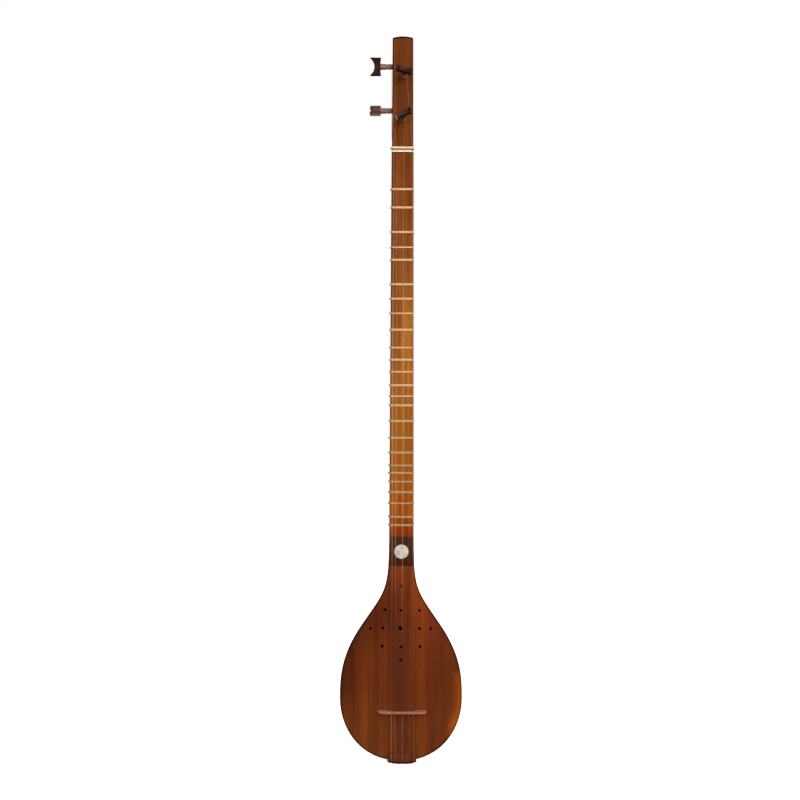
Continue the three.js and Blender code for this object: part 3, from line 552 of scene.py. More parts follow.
def bowl_point(share, turn):
    """A point of the bowl's skin: turn is 0 at the middle of the back and a quarter turn at the rim."""
    which, along = station(share)
    side = curve_point(side_curves[which], along)
    back = curve_point(back_curves[which], along)
    height = side.y * math.sin(turn) ** 2 + back.y * math.cos(turn) ** 2
    return Vector((side.x * math.sin(turn), bowl_rim + (back.x - bowl_rim) * math.cos(turn), height))


def neck_size(height):
    """Half width and depth of the neck at a height."""
    if height < shoulder_height:
        side = curve_point(side_curves[2], share_where(side_curves[2], 1, height))
        back = curve_point(back_curves[2], share_where(back_curves[2], 1, height))
        return side.x, back.x
    marks = (
        (shoulder_height, shoulder_half, shoulder_depth),
        (nut_middle.z, nut_half, nut_depth),
        (nut_middle.z + head_step, head_half, head_depth),
        (head_top, head_top_half, head_top_depth),
    )
    for low, high in zip(marks, marks[1:]):
        if height <= high[0]:
            break
    share = (height - low[0]) / (high[0] - low[0])
    return low[1] + (high[1] - low[1]) * share, low[2] + (high[2] - low[2]) * share


def neck_ring(height, offset=0, lift=0):
    """The neck's section at a height, grown by an offset and lifted in front, from the left edge round."""
    half, depth = neck_size(height)
    wide = half + offset
    corner = neck_edge_radius + offset
    run = corner * lifted_corner_share if lift else corner
    left = []
    for step in range(corner_steps + 1):
        turn = quarter_turn * step / corner_steps
        drop = corner * (1 - math.sin(turn)) - lift * math.sin(turn)
        left.append(Vector((-wide + run * (1 - math.cos(turn)), drop - offset, height)))
    right = [Vector((-point.x, point.y, height)) for point in reversed(left)]
    back = []
    for step in range(1, section_steps):
        turn = quarter_turn - math.pi * step / section_steps
        deep = corner - offset + (depth + 2 * offset - corner) * math.cos(turn)
        back.append(Vector((wide * math.sin(turn), deep, height)))
    return left + right + back


# Pegs, seen from where each one meets the head

class PegSeat:
    """Where a peg's axis meets the head, and the directions up the neck, across and outwards."""

    def __init__(self, name):
        joint = next(j for j in frame["joints"] if j["name"] == f"peg_{name}_turn")
        self.name = name
        self.place = Vector(joint["pos_m"])
        self.out = Vector(joint["axis"])
        self.up = Vector((0, 0, 1))
        self.across = self.out.cross(self.up)
        self.on_side = abs(self.out.x) > abs(self.out.y)
        half, depth = neck_size(self.place.z)
        self.through = 2 * half if self.on_side else depth
        self.reach = side_peg_reach if self.on_side else front_peg_reach
        self.knob_length = side_knob_length if self.on_side else front_knob_length
        self.knob_turn = math.radians(peg_turns[name])
        self.matrix = Matrix((self.up, self.across, self.out)).transposed().to_4x4()
        self.matrix.translation = self.place

    def seen(self, point):
        """A point as its distances up the neck and across from the peg's axis."""
        offset = point - self.place
        return offset.dot(self.up), offset.dot(self.across)


def winding_radius():
    return peg_seat_radius + sizes().string_diameter / 2 + rest_clearance


def on_winding(turn, along):
    radius = winding_radius()
    return Vector((radius * math.cos(turn), radius * math.sin(turn), along))


# Mesh tools

def laid_grid(steps_across, steps_along, place):
    """A grid whose corners go where place says, for shares across and along it."""
    skin = bmesh.new()
    bmesh.ops.create_grid(skin, x_segments=steps_across, y_segments=steps_along, size=0.5)
    for vert in skin.verts:
        vert.co = place(vert.co.x + 0.5, vert.co.y + 0.5)
    return skin


def column(rings):
    """A closed skin that is pulled from ring to ring and capped at both ends."""
    skin = bmesh.new()
    ring = bmesh.ops.create_circle(skin, segments=len(rings[0]), radius=1)["verts"]
    first = ring
    for vert, place in zip(ring, rings[0]):
        vert.co = place
    for places in rings[1:]:
        edges = ring_edges(skin, ring)
        pulled = bmesh.ops.extrude_edge_only(skin, edges=edges)["geom"]
        fresh = {item for item in pulled if isinstance(item, bmesh.types.BMVert)}
        ring = [next(e.other_vert(v) for e in v.link_edges if e.other_vert(v) in fresh) for v in ring]
        for vert, place in zip(ring, places):
            vert.co = place
    for end in (first, ring):
        bmesh.ops.contextual_create(skin, geom=ring_edges(skin, end))
    return skin


def ring_edges(skin, ring):
    pairs = zip(ring, ring[1:] + ring[:1])
    return [skin.edges.get(pair) for pair in pairs]


def turned(profile, steps):
    """A closed skin turned round the Z axis from a profile that starts and ends on it."""
    skin = bmesh.new()
    verts = [skin.verts.new((radius, 0, along)) for radius, along in profile]
    edges = [skin.edges.new(pair) for pair in zip(verts, verts[1:])]
    bmesh.ops.spin(
        skin, geom=verts + edges, cent=(0, 0, 0), axis=(0, 0, 1), angle=whole_turn,
        steps=steps, use_merge=True,
    )
    bmesh.ops.remove_doubles(skin, verts=skin.verts, dist=merge_distance)
    return skin


def copied(node):
    """A copy of a construction node's shape, with its corners merged and its flat faces joined."""
    skin = bmesh.new()
    skin.from_mesh(frame["nodes"][node].data)
    bmesh.ops.remove_doubles(skin, verts=skin.verts, dist=merge_distance)
    bmesh.ops.dissolve_limit(
        skin, angle_limit=math.radians(flat_join), verts=skin.verts, edges=skin.edges,
    )
    return skin


def sharp_edges(skin):
    limit = math.radians(sharp_edge)
    return [e for e in skin.edges if e.is_manifold and e.calc_face_angle() > limit]


def eased_width(kind):
    return sizes().eased_edge * ease_shares[kind]


def ease(skin, width, segments=3, chosen=None):
    """Rounds the sharp edges of a skin, or the chosen ones."""
    edges = sharp_edges(skin) if chosen is None else chosen
    bmesh.ops.bevel(
        skin, geom=edges, offset=width, segments=segments, profile=0.5, affect="EDGES",
        material=-1, clamp_overlap=True,
    )


def moved(skin, matrix):
    bmesh.ops.transform(skin, matrix=matrix, verts=skin.verts)
    return skin


def placed(name, data):
    """A new object in the scene."""
    item = bpy.data.objects.new(name, data)
    bpy.context.scene.collection.objects.link(item)
    return item


def bare_object(name, skin):
    mesh = bpy.data.meshes.new(name)
    bmesh.ops.recalc_face_normals(skin, faces=skin.faces)
    skin.to_mesh(mesh)
    skin.free()
    return placed(name, mesh)


def discard(piece):
    data = piece.data
    bpy.data.objects.remove(piece)
    (bpy.data.curves if isinstance(data, bpy.types.Curve) else bpy.data.meshes).remove(data)


def final_skin(piece):
    """The skin of an object with its modifiers applied; the object itself goes."""
    bpy.context.view_layer.update()
    seen = piece.evaluated_get(bpy.context.evaluated_depsgraph_get())
    mesh = bpy.data.meshes.new_from_object(seen)
    skin = bmesh.new()
    skin.from_mesh(mesh)
    bpy.data.meshes.remove(mesh)
    discard(piece)
    return skin


def combined(skin, tool, operation):
    """One skin joined with another or cut by it."""
    body = bare_object("body_being_cut", skin)
    cutter = bare_object("cutter", tool)
    step = body.modifiers.new("cut", "BOOLEAN")
    step.operation = operation
    step.solver = "EXACT"
    step.object = cutter
    made = final_skin(body)
    discard(cutter)
    return made


def strands(routes, radius):
    """Round strands along routes: each route is a list of points, and whether it closes."""
    curve = bpy.data.curves.new("strands", "CURVE")
    curve.dimensions = "3D"
    curve.bevel_depth = radius
    curve.bevel_resolution = 2
    curve.use_fill_caps = True
    for points, closes in routes:
        spline = curve.splines.new("POLY")
        spline.points.add(len(points) - 1)
        for mark, place in zip(spline.points, points):
            mark.co = (*place, 1)
        spline.use_cyclic_u = closes
    skin = final_skin(placed("strands", curve))
    bmesh.ops.remove_doubles(skin, verts=skin.verts, dist=merge_distance)
    return skin


def rounded(points, radius):
    """A route with each inner corner drawn as a short curve."""
    route = [points[0]]
    for before, corner, after in zip(points, points[1:], points[2:]):
        arriving = corner - before
        leaving = after - corner
        run = min(radius, arriving.length / bend_leg_divisor, leaving.length / bend_leg_divisor)
        start = corner - arriving.normalized() * run
        end = corner + leaving.normalized() * run
        for step in range(bend_steps + 1):
            share = step / bend_steps
            route.append((1 - share) ** 2 * start + 2 * share * (1 - share) * corner + share**2 * end)
    route.append(points[-1])
    return route


def shade_evenly(piece):
    shading = piece.modifiers.new("even_shading", "WEIGHTED_NORMAL")
    shading.keep_sharp = True


def finish_piece(name, skin, material, body, nodes):
    """Turns a skin into a piece that stands for its nodes and moves with their body."""
    limit = math.radians(sharp_edge)
    for edge in skin.edges:
        edge.smooth = edge.is_manifold and edge.calc_face_angle() < limit
    for face in skin.faces:
        face.smooth = True
    piece = bare_object(name, skin)
    piece.data.materials.append(material)
    shade_evenly(piece)
    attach(piece, body)
    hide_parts(*nodes)
    return piece


# Material tools

class Recipe:
    """A node tree that is built one node at a time."""

    def __init__(self, tree):
        self.tree = tree

    def add(self, kind, inputs=(), output=0, **settings):
        """Adds a node, sets its settings and inputs, and gives back one of its outputs."""
        made = self.tree.nodes.new("ShaderNode" + kind)
        for key, value in settings.items():
            setattr(made, key, value)
        self.fill(made, dict(inputs))
        return made.outputs[output]

    def fill(self, made, inputs):
        """Links the inputs of a node to other nodes, or sets them."""
        for key, value in inputs.items():
            if isinstance(value, bpy.types.NodeSocket):
                self.tree.links.new(value, made.inputs[key])
            else:
                made.inputs[key].default_value = value

    def blend(self, share, low, high):
        """A colour between two colours."""
        inputs = {0: share, 6: opaque(low), 7: opaque(high)}
        return self.add("Mix", inputs, 2, data_type="RGBA", clamp_factor=True)

    def tinted(self, colour, tint, share=1.0):
        """A colour multiplied by a tint, by a share."""
        inputs = {0: share, 6: colour, 7: opaque(tint)}
        return self.add("Mix", inputs, 2, data_type="RGBA", blend_type="MULTIPLY")

    def spread(self, value, from_low, from_high, to_low=0.0, to_high=1.0):
        """A value's range laid onto another range."""
        inputs = {0: value, 1: from_low, 2: from_high, 3: to_low, 4: to_high}
        return self.add("MapRange", inputs, clamp=True)

    def times(self, value, other):
        return self.add("Math", {0: value, 1: other}, operation="MULTIPLY")

    def plus(self, value, other):
        return self.add("Math", {0: value, 1: other}, operation="ADD")

    def scaled(self, vector, scale):
        return self.add("VectorMath", {0: vector, "Scale": scale}, operation="SCALE")

    def stretched(self, vector, scale):
        return self.add("Mapping", {"Vector": vector, "Scale": scale})

    def noise(self, vector, detail=2.0, roughness=0.5, distortion=0.0):
        inputs = {"Vector": vector, "Scale": 1.0, "Detail": detail, "Roughness": roughness}
        inputs["Distortion"] = distortion
        return self.add("TexNoise", inputs)


def opaque(colour):
    if isinstance(colour, bpy.types.NodeSocket):
        return colour
    return (*colour, 1.0)


def start_group(name, inputs, outputs):
    """A node group with named inputs and outputs, and its recipe."""
    group = bpy.data.node_groups.new(name, "ShaderNodeTree")
    for socket, kind, value in inputs:
        made = group.interface.new_socket(name=socket, in_out="INPUT", socket_type=kind)
        if value is not None:
            made.default_value = value
    for socket in outputs:
        group.interface.new_socket(name=socket, in_out="OUTPUT", socket_type="NodeSocketFloat")
    recipe = Recipe(group)
    entry = group.nodes.new("NodeGroupInput")
    leave = group.nodes.new("NodeGroupOutput")
    return group, recipe, entry, leave


def grain_group():
    """Wood that grows along Z: broad streaks, fine lines, pores and rays across the grain."""
    if "wood_grain" in bpy.data.node_groups:
        return bpy.data.node_groups["wood_grain"]
    inputs = (
        ("Vector", "NodeSocketVector", None),
        ("Streaks", "NodeSocketFloat", 70.0),
        ("Lines", "NodeSocketFloat", 620.0),
    )
    group, recipe, entry, leave = start_group("wood_grain", inputs, ("Streak", "Line", "Pore", "Ray"))
    place = entry.outputs["Vector"]
    sway = recipe.noise(recipe.stretched(place, sway_waves), 2.0)
    aside = recipe.times(sway, sway_aside)
    swayed = recipe.add("CombineXYZ", {"X": aside, "Y": recipe.times(sway, sway_back)})
    bent = recipe.add("VectorMath", {0: place, 1: swayed}, operation="ADD")
    flat = recipe.add("VectorMath", {0: bent, 1: streak_stretch}, operation="MULTIPLY")
    streak = recipe.noise(recipe.scaled(flat, entry.outputs["Streaks"]), 4.0, 0.55)
    thin = recipe.add("VectorMath", {0: bent, 1: line_stretch}, operation="MULTIPLY")
    line = recipe.noise(recipe.scaled(thin, entry.outputs["Lines"]), 3.0, 0.6)
    pore = recipe.noise(recipe.stretched(bent, pore_waves), 1.0)
    ray = recipe.noise(recipe.stretched(bent, ray_waves), 2.0, 0.6)
    patch = recipe.noise(recipe.stretched(place, ray_patch_waves), 1.0)
    group.links.new(recipe.spread(streak, 0.3, 0.7), leave.inputs["Streak"])
    group.links.new(recipe.spread(line, 0.36, 0.66), leave.inputs["Line"])
    group.links.new(recipe.spread(pore, 0.6, 0.74), leave.inputs["Pore"])
    rays = recipe.times(recipe.spread(ray, 0.5, 0.68), recipe.spread(patch, 0.45, 0.65))
    group.links.new(rays, leave.inputs["Ray"])
    return group


def wear_group():
    """A mask of the edges that hands and cloths rub."""
    if "rubbed_edges" in bpy.data.node_groups:
        return bpy.data.node_groups["rubbed_edges"]
    inputs = (("Vector", "NodeSocketVector", None), ("Width", "NodeSocketFloat", 0.8 * mm))
    group, recipe, entry, leave = start_group("rubbed_edges", inputs, ("Wear",))
    soft = recipe.add("Bevel", {"Radius": entry.outputs["Width"]}, samples=4)
    true = recipe.add("NewGeometry", output="Normal")
    facing = recipe.add("VectorMath", {0: soft, 1: true}, "Value", operation="DOT_PRODUCT")
    edge = recipe.spread(facing, 0.97, 0.75)
    patchy = recipe.noise(recipe.stretched(entry.outputs["Vector"], rubbed_waves), 3.0)
    group.links.new(recipe.times(edge, recipe.spread(patchy, 0.35, 0.65)), leave.inputs["Wear"])
    return group


def handling_group():
    """Cloudy patches where hands have polished or dulled a surface."""
    if "handling" in bpy.data.node_groups:
        return bpy.data.node_groups["handling"]
    inputs = (("Vector", "NodeSocketVector", None), ("Scale", "NodeSocketFloat", 45.0))
    group, recipe, entry, leave = start_group("handling", inputs, ("Patch",))
    place = recipe.scaled(entry.outputs["Vector"], entry.outputs["Scale"])
    group.links.new(recipe.spread(recipe.noise(place, 4.0, 0.6), 0.32, 0.68), leave.inputs["Patch"])
    return group


def start_material(name):
    material = bpy.data.materials.new(name)
    material.use_nodes = True
    recipe = Recipe(material.node_tree)
    shader = material.node_tree.nodes["Principled BSDF"]
    return material, recipe, shader


def with_group(recipe, group, inputs):
    """Places a node group and gives back its outputs by name."""
    made = recipe.tree.nodes.new("ShaderNodeGroup")
    made.node_tree = group
    recipe.fill(made, inputs)
    return made.outputs


def material_place(recipe, attribute=None, turn=(0, 0, 0)):
    """Where a material reads its pattern: the object's own place, or a named attribute."""
    if attribute:
        return recipe.add("Attribute", output="Vector", attribute_name=attribute)
    place = recipe.add("TexCoord", output="Object")
    return recipe.add("Mapping", {"Vector": place, "Rotation": turn})


def wood(name, dark, light, attribute=None, turn=(0, 0, 0), lines=620.0, streaks=70.0,
         rough=(0.34, 0.5), rays=0.25, line_strength=0.5, wear=0.35, specular=0.03, tones=None,
         shades=()):
    """A varnished wood with streaks, lines, pores, rays, rubbed edges and handling."""
    if name in bpy.data.materials:
        return bpy.data.materials[name]
    material, recipe, shader = start_material(name)
    place = material_place(recipe, attribute, turn)
    grain = with_group(recipe, grain_group(), {"Vector": place, "Lines": lines, "Streaks": streaks})
    hands = with_group(recipe, handling_group(), {"Vector": place})
    rubbed = with_group(recipe, wear_group(), {"Vector": place})
    dark = Vector(dark)
    light = Vector(light)
    colour = recipe.blend(grain["Streak"], dark, light)
    if tones:
        colour = toned(recipe, colour, tones)
    shade = recipe.add("HueSaturation", {"Color": colour, **wood_shade})
    colour = recipe.blend(recipe.times(grain["Line"], line_strength), colour, shade)
    colour = recipe.blend(recipe.times(grain["Pore"], pore_share), colour, dark * pore_tone)
    glow = recipe.add("HueSaturation", {"Color": colour, "Value": ray_glow})
    colour = recipe.blend(recipe.times(grain["Ray"], rays), colour, glow)
    colour = recipe.blend(recipe.times(hands["Patch"], handled_share), colour, shade)
    # Painted light and shade from the piece's own masks, with the knobs' darker wood
    for mask, tint in shades:
        share = recipe.add("Attribute", output="Fac", attribute_name=mask)
        colour = recipe.tinted(colour, tint, share)
    worn = recipe.add("HueSaturation", {"Color": colour, "Value": rubbed_glow})
    colour = recipe.blend(recipe.times(rubbed["Wear"], wear), colour, worn)
    gloss = recipe.spread(hands["Patch"], 0.0, 1.0, *rough)
    gloss = recipe.plus(gloss, recipe.times(grain["Pore"], pore_roughness))
    height = recipe.plus(recipe.times(grain["Line"], line_depth), recipe.times(grain["Pore"], pore_depth))
    normal = recipe.add("Bump", {"Height": height, **wood_bump})
    recipe.fill(shader, {"Base Color": colour, "Roughness": gloss, "Normal": normal})
    shader.inputs["Specular IOR Level"].default_value = specular
    return material


def toned(recipe, colour, tones):
    """A colour that darkens and lightens up the instrument: tones are heights and their tints."""
    place = recipe.add("TexCoord", output="Object")
    height = recipe.add("SeparateXYZ", {"Vector": place}, "Z")
    low = tones[0][0]
    high = tones[-1][0]
    ramp = recipe.tree.nodes.new("ShaderNodeValToRGB")
    recipe.tree.links.new(recipe.spread(height, low, high), ramp.inputs["Fac"])
    stops = ramp.color_ramp.elements
    while len(stops) < len(tones):
        stops.new(0.5)
    for stop, (mark, tone) in zip(stops, tones):
        stop.position = (mark - low) / (high - low)
        stop.color = (*tone, 1.0)
    return recipe.tinted(colour, ramp.outputs["Color"])


def grey_tones(marks):
    """Tones without a tint, from heights and brightness."""
    return [(mark, (tone, tone, tone)) for mark, tone in marks]


def metal(name, tint, metallic, tones=None):
    """Drawn wire, dulled in patches by fingers."""
    if name in bpy.data.materials:
        return bpy.data.materials[name]
    material, recipe, shader = start_material(name)
    place = material_place(recipe)
    hands = with_group(recipe, handling_group(), {"Vector": place, "Scale": wire_patches})
    tint = Vector(tint)
    colour = recipe.blend(recipe.times(hands["Patch"], wire_dull_share), tint, tint * wire_dull_tone)
    if tones:
        colour = toned(recipe, colour, tones)
    gloss = recipe.spread(hands["Patch"], 0.0, 1.0, *wire_rough)
    recipe.fill(shader, {"Base Color": colour, "Roughness": gloss})
    shader.inputs["Metallic"].default_value = metallic
    return material


def pale(name, dark, light, scale, stretch, rough=(0.3, 0.45), tones=None):
    """Gut or bone: a pale, slightly clouded horn-like surface with fibres along it."""
    if name in bpy.data.materials:
        return bpy.data.materials[name]
    material, recipe, shader = start_material(name)
    place = material_place(recipe)
    fibre = recipe.noise(recipe.stretched(place, stretch), 3.0)
    hands = with_group(recipe, handling_group(), {"Vector": place, "Scale": scale})
    fibres = recipe.times(recipe.spread(fibre, 0.35, 0.65), fibre_share)
    share = recipe.plus(fibres, recipe.times(hands["Patch"], clouded_share))
    colour = recipe.blend(share, light, dark)
    if tones:
        colour = toned(recipe, colour, tones)
    gloss = recipe.spread(hands["Patch"], 0.0, 1.0, *rough)
    normal = recipe.add("Bump", {"Height": fibre, **pale_bump})
    recipe.fill(shader, {"Base Color": colour, "Roughness": gloss, "Normal": normal})
    shader.inputs["Specular IOR Level"].default_value = pale_specular
    return material


def pearl_finish():
    """Mother-of-pearl: soft bands of cream and grey-green that drift across the disc."""
    if "mother_of_pearl" in bpy.data.materials:
        return bpy.data.materials["mother_of_pearl"]
    material, recipe, shader = start_material("mother_of_pearl")
    place = material_place(recipe)
    drift = recipe.noise(recipe.stretched(place, pearl_drift_waves), 3.0, 0.55, 1.2)
    bands = recipe.noise(recipe.stretched(place, pearl_band_waves), 3.0, 0.5, 2.0)
    drifts = recipe.times(recipe.spread(drift, 0.35, 0.65), drift_share)
    share = recipe.plus(drifts, recipe.times(bands, band_share))
    colour = recipe.blend(recipe.spread(share, 0.3, 0.8), colours().pearl_cream, colours().pearl_grey)
    gloss = recipe.spread(bands, 0.3, 0.7, *pearl_rough)
    normal = recipe.add("Bump", {"Height": bands, **pearl_bump})
    recipe.fill(shader, {"Base Color": colour, "Roughness": gloss, "Normal": normal})
    shader.inputs["Coat Weight"].default_value = pearl_coat
    return material


# Painted shade along the left edge of the neck and of its facing, where the rounded edge turns from the
# light
painted_edge_shades = (("left_edge", (0.24, 0.22, 0.28)),)


def board_finish():
    """Varnish that changes up the board, with a painted shade line along its rim, a painted highlight
    inside its right rim and painted shade on its left.
    """
    tones = (
        (0, (0.64, 0.7, 0.7)),
        (45 * mm, (0.62, 0.66, 0.66)),
        (85 * mm, (0.54, 0.53, 0.5)),
        (167 * mm, (0.59, 0.51, 0.46)),
        (220 * mm, (0.84, 0.75, 0.51)),
        (neck_joint, (0.84, 0.75, 0.51)),
    )
    shades = (
        # Painted shade line along the rim
        ("rim_line", (0.25, 0.2, 0.2)),
        # Painted highlight inside the right rim
        ("rim_glow", (2.7, 2.5, 0.8)),
        # Painted shade over the left of the board
        ("left_shade", (0.52, 0.56, 0.62)),
    )
    return wood("board_varnish", colours().board_dark, colours().board_light, rays=0.3, streaks=60.0,
                wear=0.15, tones=tones, shades=shades)


def neck_finish():
    """Varnish that is duller over the head than over the neck."""
    tones = (
        (nut_high.z, (1.0, 0.96, 0.6)),
        (740 * mm, (1.0, 0.96, 0.6)),
        (780 * mm, (0.69, 0.74, 0.68)),
        (head_top, (0.69, 0.74, 0.75)),
    )
    return wood("neck_varnish", colours().neck_dark, colours().neck_light, lines=800.0, tones=tones,
                shades=painted_edge_shades)


def peg_finish(on_side):
    """Varnish with its grain along the peg, dark on the knob, partly as painted shade."""
    turn = (0, quarter_turn, 0) if on_side else (quarter_turn, 0, 0)
    name = "side_peg_varnish" if on_side else "front_peg_varnish"
    return wood(name, colours().peg_dark, colours().peg_light, turn=turn, lines=1100.0, streaks=240.0,
                rough=(0.34, 0.48), rays=0.1, wear=0.2, specular=0.08,
                shades=(("knob_part", (0.1, 0.055, 0.045)),))


def painted_string_light():
    """Strings with painted highlight and shade: bright over the neck and below the bridge, and darker over
    the holes, lip and head.
    """
    return grey_tones((
        (0, 0.05), (3 * mm, 0.05), (5 * mm, 0.7), (bridge_low.z, 0.7),
        (bridge_high.z, 0.15), (150 * mm, 0.22), (190 * mm, 0.35),
        (plate_low.z, 0.65), (plate_high.z, 0.8), (400 * mm, 0.9),
        (nut_low.z, 0.3), (head_top, 0.3),
    ))


def string_finish(index):
    if index in bronze_strings:
        return metal("bronze_wire", colours().bronze, string_metallic, painted_string_light())
    return metal("steel_wire", colours().steel, string_metallic, painted_string_light())


# Pieces

def soundboard():
    """The board: one thin plate that rolls off towards its rim, with thirteen countersunk holes."""
    rim = rim_tree()

    def place(across, along):
        which, share = station(along)
        edge = curve_point(side_curves[which], share)
        x = board_column(across, edge.x)
        near = 1 - smooth_share(from_rim(rim, x, edge.y) / board_roll_reach)
        fade = smooth_share((neck_joint - edge.y) / board_roll_end)
        return Vector((x, sizes().board_roll * near * fade, edge.y))

    skin = laid_grid(board_steps_across, sum(stretch_steps), place)
    front = list(skin.faces)
    pulled = bmesh.ops.extrude_face_region(skin, geom=front, use_keep_orig=True)["geom"]
    for item in pulled:
        if isinstance(item, bmesh.types.BMVert):
            item.co.y = board_back
    bmesh.ops.recalc_face_normals(skin, faces=skin.faces)
    rim_edges = [e for e in sharp_edges(skin) if e.verts[0].co.y < board_back - rim_front_margin]
    ease(skin, sizes().board_edge, 4, rim_edges)
    skin = combined(skin, sound_holes(), "DIFFERENCE")
    shade_board(skin, rim)
    finish_piece("soundboard_finish", skin, board_finish(), "root", ["soundboard"])


def rim_tree():
    """Marks along the right half of the rim, for measuring how far a place lies from it."""
    rim = KDTree(rim_marks + 1)
    for index in range(rim_marks + 1):
        which, share = station(index / rim_marks)
        rim.insert((*curve_point(side_curves[which], share), 0), index)
    rim.balance()
    return rim


def from_rim(rim, x, z):
    """How far a place on the board lies from its rim."""
    return rim.find((abs(x), z, 0))[2]


def sound_holes():
    """The countersunk plugs that are cut out of the board."""
    board_length = neck_joint - bowl_foot
    holes = bmesh.new()
    for index, (across, up) in enumerate(sound_hole_shares):
        radius = (large_hole_diameter if index == large_hole_index else small_hole_diameter) / 2
        centre = Vector((across * bowl_half, 0, bowl_foot + up * board_length))
        profile = (
            (0, -overrun), (radius + 2 * hole_countersink, -overrun), (radius + hole_countersink, 0),
            (radius, hole_countersink), (radius, overrun), (0, overrun),
        )
        matrix = Matrix.Translation(centre) @ Matrix.Rotation(-quarter_turn, 4, "X")
        plug = moved(turned(profile, hole_steps), matrix)
        part = bpy.data.meshes.new("hole")
        plug.to_mesh(part)
        plug.free()
        holes.from_mesh(part)
        bpy.data.meshes.remove(part)
    return holes


def shade_board(skin, rim):
    """Marks the painted shade line and the painted highlight along the rim, and the painted shade on the
    left.
    """
    line = skin.verts.layers.float.new("rim_line")
    glow = skin.verts.layers.float.new("rim_glow")
    dark = skin.verts.layers.float.new("left_shade")
    for vert in skin.verts:
        gap = from_rim(rim, vert.co.x, vert.co.z)
        # Painted shade line just inside the rim
        vert[line] = max(0.0, 1 - abs(gap - rim_shade_middle) / rim_shade_reach)
        # Painted highlight inside the right rim
        if vert.co.x > 0:
            low = smooth_share((vert.co.z - rim_highlight_low) / rim_highlight_fade)
            high = smooth_share((rim_highlight_high - vert.co.z) / rim_highlight_fade)
            vert[glow] = low * high * max(0.0, 1 - abs(gap - rim_highlight_middle) / rim_highlight_reach)
        else:
            # Painted shade over the left of the board
            low = smooth_share((vert.co.z - left_shade_low) / left_shade_rise)
            high = smooth_share((left_shade_high - vert.co.z) / left_shade_fade)
            vert[dark] = low * high * max(0.0, 1 - gap / left_shade_reach)


def board_column(across, half):
    """Where a column of the board's grid lies: the outer ones are close together at the rim."""
    column_number = round(across * board_steps_across)
    inwards = min(column_number, board_steps_across - column_number)
    side = 1 if 2 * column_number > board_steps_across else -1
    if inwards < len(rim_columns):
        return side * (half - rim_columns[inwards])
    outer = len(rim_columns) - 1
    share = (column_number - outer) / (board_steps_across - 2 * outer)
    return (half - rim_columns[-1]) * (2 * share - 1)


def even_steps(start, rise, steps):
    """Heights from a start up a rise, in even steps."""
    return [start + rise * step / steps for step in range(steps + 1)]


def smooth_share(value):
    value = max(0.0, min(1.0, value))
    return value * value * (3 - 2 * value)


def stave_turns():
    """Turns that share the widest section of the bowl out equally among the staves."""
    fine = measuring_steps * stave_count
    widest = stretch_steps[0] / sum(stretch_steps)
    points = [bowl_point(widest, -quarter_turn + math.pi * i / fine) for i in range(fine + 1)]
    lengths = [0.0]
    for before, after in zip(points, points[1:]):
        lengths.append(lengths[-1] + (after - before).length)
    marks = []
    for stave in range(1, stave_count):
        target = lengths[-1] * stave / stave_count
        index = next(i for i, length in enumerate(lengths) if length >= target)
        marks.append(-quarter_turn + math.pi * index / fine)
    return [-quarter_turn, *marks, quarter_turn]


def staves():
    """The bowl's ribs: bent strips that meet in fine lines, each with its own run of grain."""
    turns = stave_turns()
    finish = wood("stave_varnish", colours().stave_dark, colours().stave_light, attribute="grain_place",
                  lines=700.0, streaks=110.0)
    for index, (first, last) in enumerate(zip(turns, turns[1:])):
        skin = stave_skin(index, first, last)
        name = f"bowl_stave_{index + 1}"
        piece = finish_piece(f"{name}_finish", skin, finish, "root", [name])
        piece.modifiers.remove(piece.modifiers["even_shading"])
        wall = piece.modifiers.new("wall", "SOLIDIFY")
        wall.thickness = stave_thickness
        wall.offset = -1
        edge = piece.modifiers.new("eased_edges", "BEVEL")
        edge.width = eased_width("bowl_stave")
        edge.segments = 2
        edge.limit_method = "ANGLE"
        edge.angle_limit = math.radians(2 * sharp_edge)
        shade_evenly(piece)


def stave_skin(index, first, last):
    middle = (first + last) / 2

    def place(across, along):
        turn = first + (last - first) * across
        beside = bowl_point(along, middle + small_turn)
        reach = (beside - bowl_point(along, middle)).length / small_turn
        inset = sizes().stave_gap / 2 / reach
        if first > -quarter_turn:
            turn += inset * (1 - across)
        if last < quarter_turn:
            turn -= inset * across
        return bowl_point(along, turn)

    skin = laid_grid(stave_steps_across, sum(stretch_steps), place)
    grain = skin.verts.layers.float_vector.new("grain_place")
    for vert in skin.verts:
        run = vert.co.z - bowl_foot
        side = math.atan2(vert.co.x, vert.co.y - bowl_rim) - middle
        width = side * bowl_half * stave_grain_width
        vert[grain] = Vector((width, index * stave_grain_across, run + index * stave_grain_along))
    for face in skin.faces:
        face.normal_update()
    face = next(iter(skin.faces))
    outwards = face.calc_center_median() - Vector((0, bowl_rim, bowl_widest))
    if face.normal.dot(outwards) < 0:
        bmesh.ops.reverse_faces(skin, faces=skin.faces)
    return skin


def neck():
    """The neck and head: one piece, cut back for its facings and drilled for the pegs."""
    heights = even_steps(neck_end, shoulder_height - neck_end, throat_steps)
    heights += even_steps(shoulder_height, nut_middle.z - shoulder_height, neck_steps)[1:]
    heights += even_steps(nut_middle.z, head_step, head_steps)[1:]
    head_foot = heights[-1]
    heights += even_steps(head_foot, head_top - head_foot, head_steps)[1:]
    skin = column([neck_ring(height) for height in heights])
    skin = combined(skin, above_arch(head_top - cap_thickness + cap_glue_line), "DIFFERENCE")
    low = Vector((-shoulder_half * 2, -overrun, neck_end - overrun))
    high = Vector((shoulder_half * 2, facing_high.y + glue_line, nut_high.z + glue_line))
    skin = combined(skin, box_skin(low, high), "DIFFERENCE")
    for name in peg_turns:
        seat = PegSeat(name)
        skin = combined(skin, peg_hole(seat), "DIFFERENCE")
    darken_left_edge(skin, neck_edge_radius)
    finish_piece("neck_finish", skin, neck_finish(), "root", ["neck"])


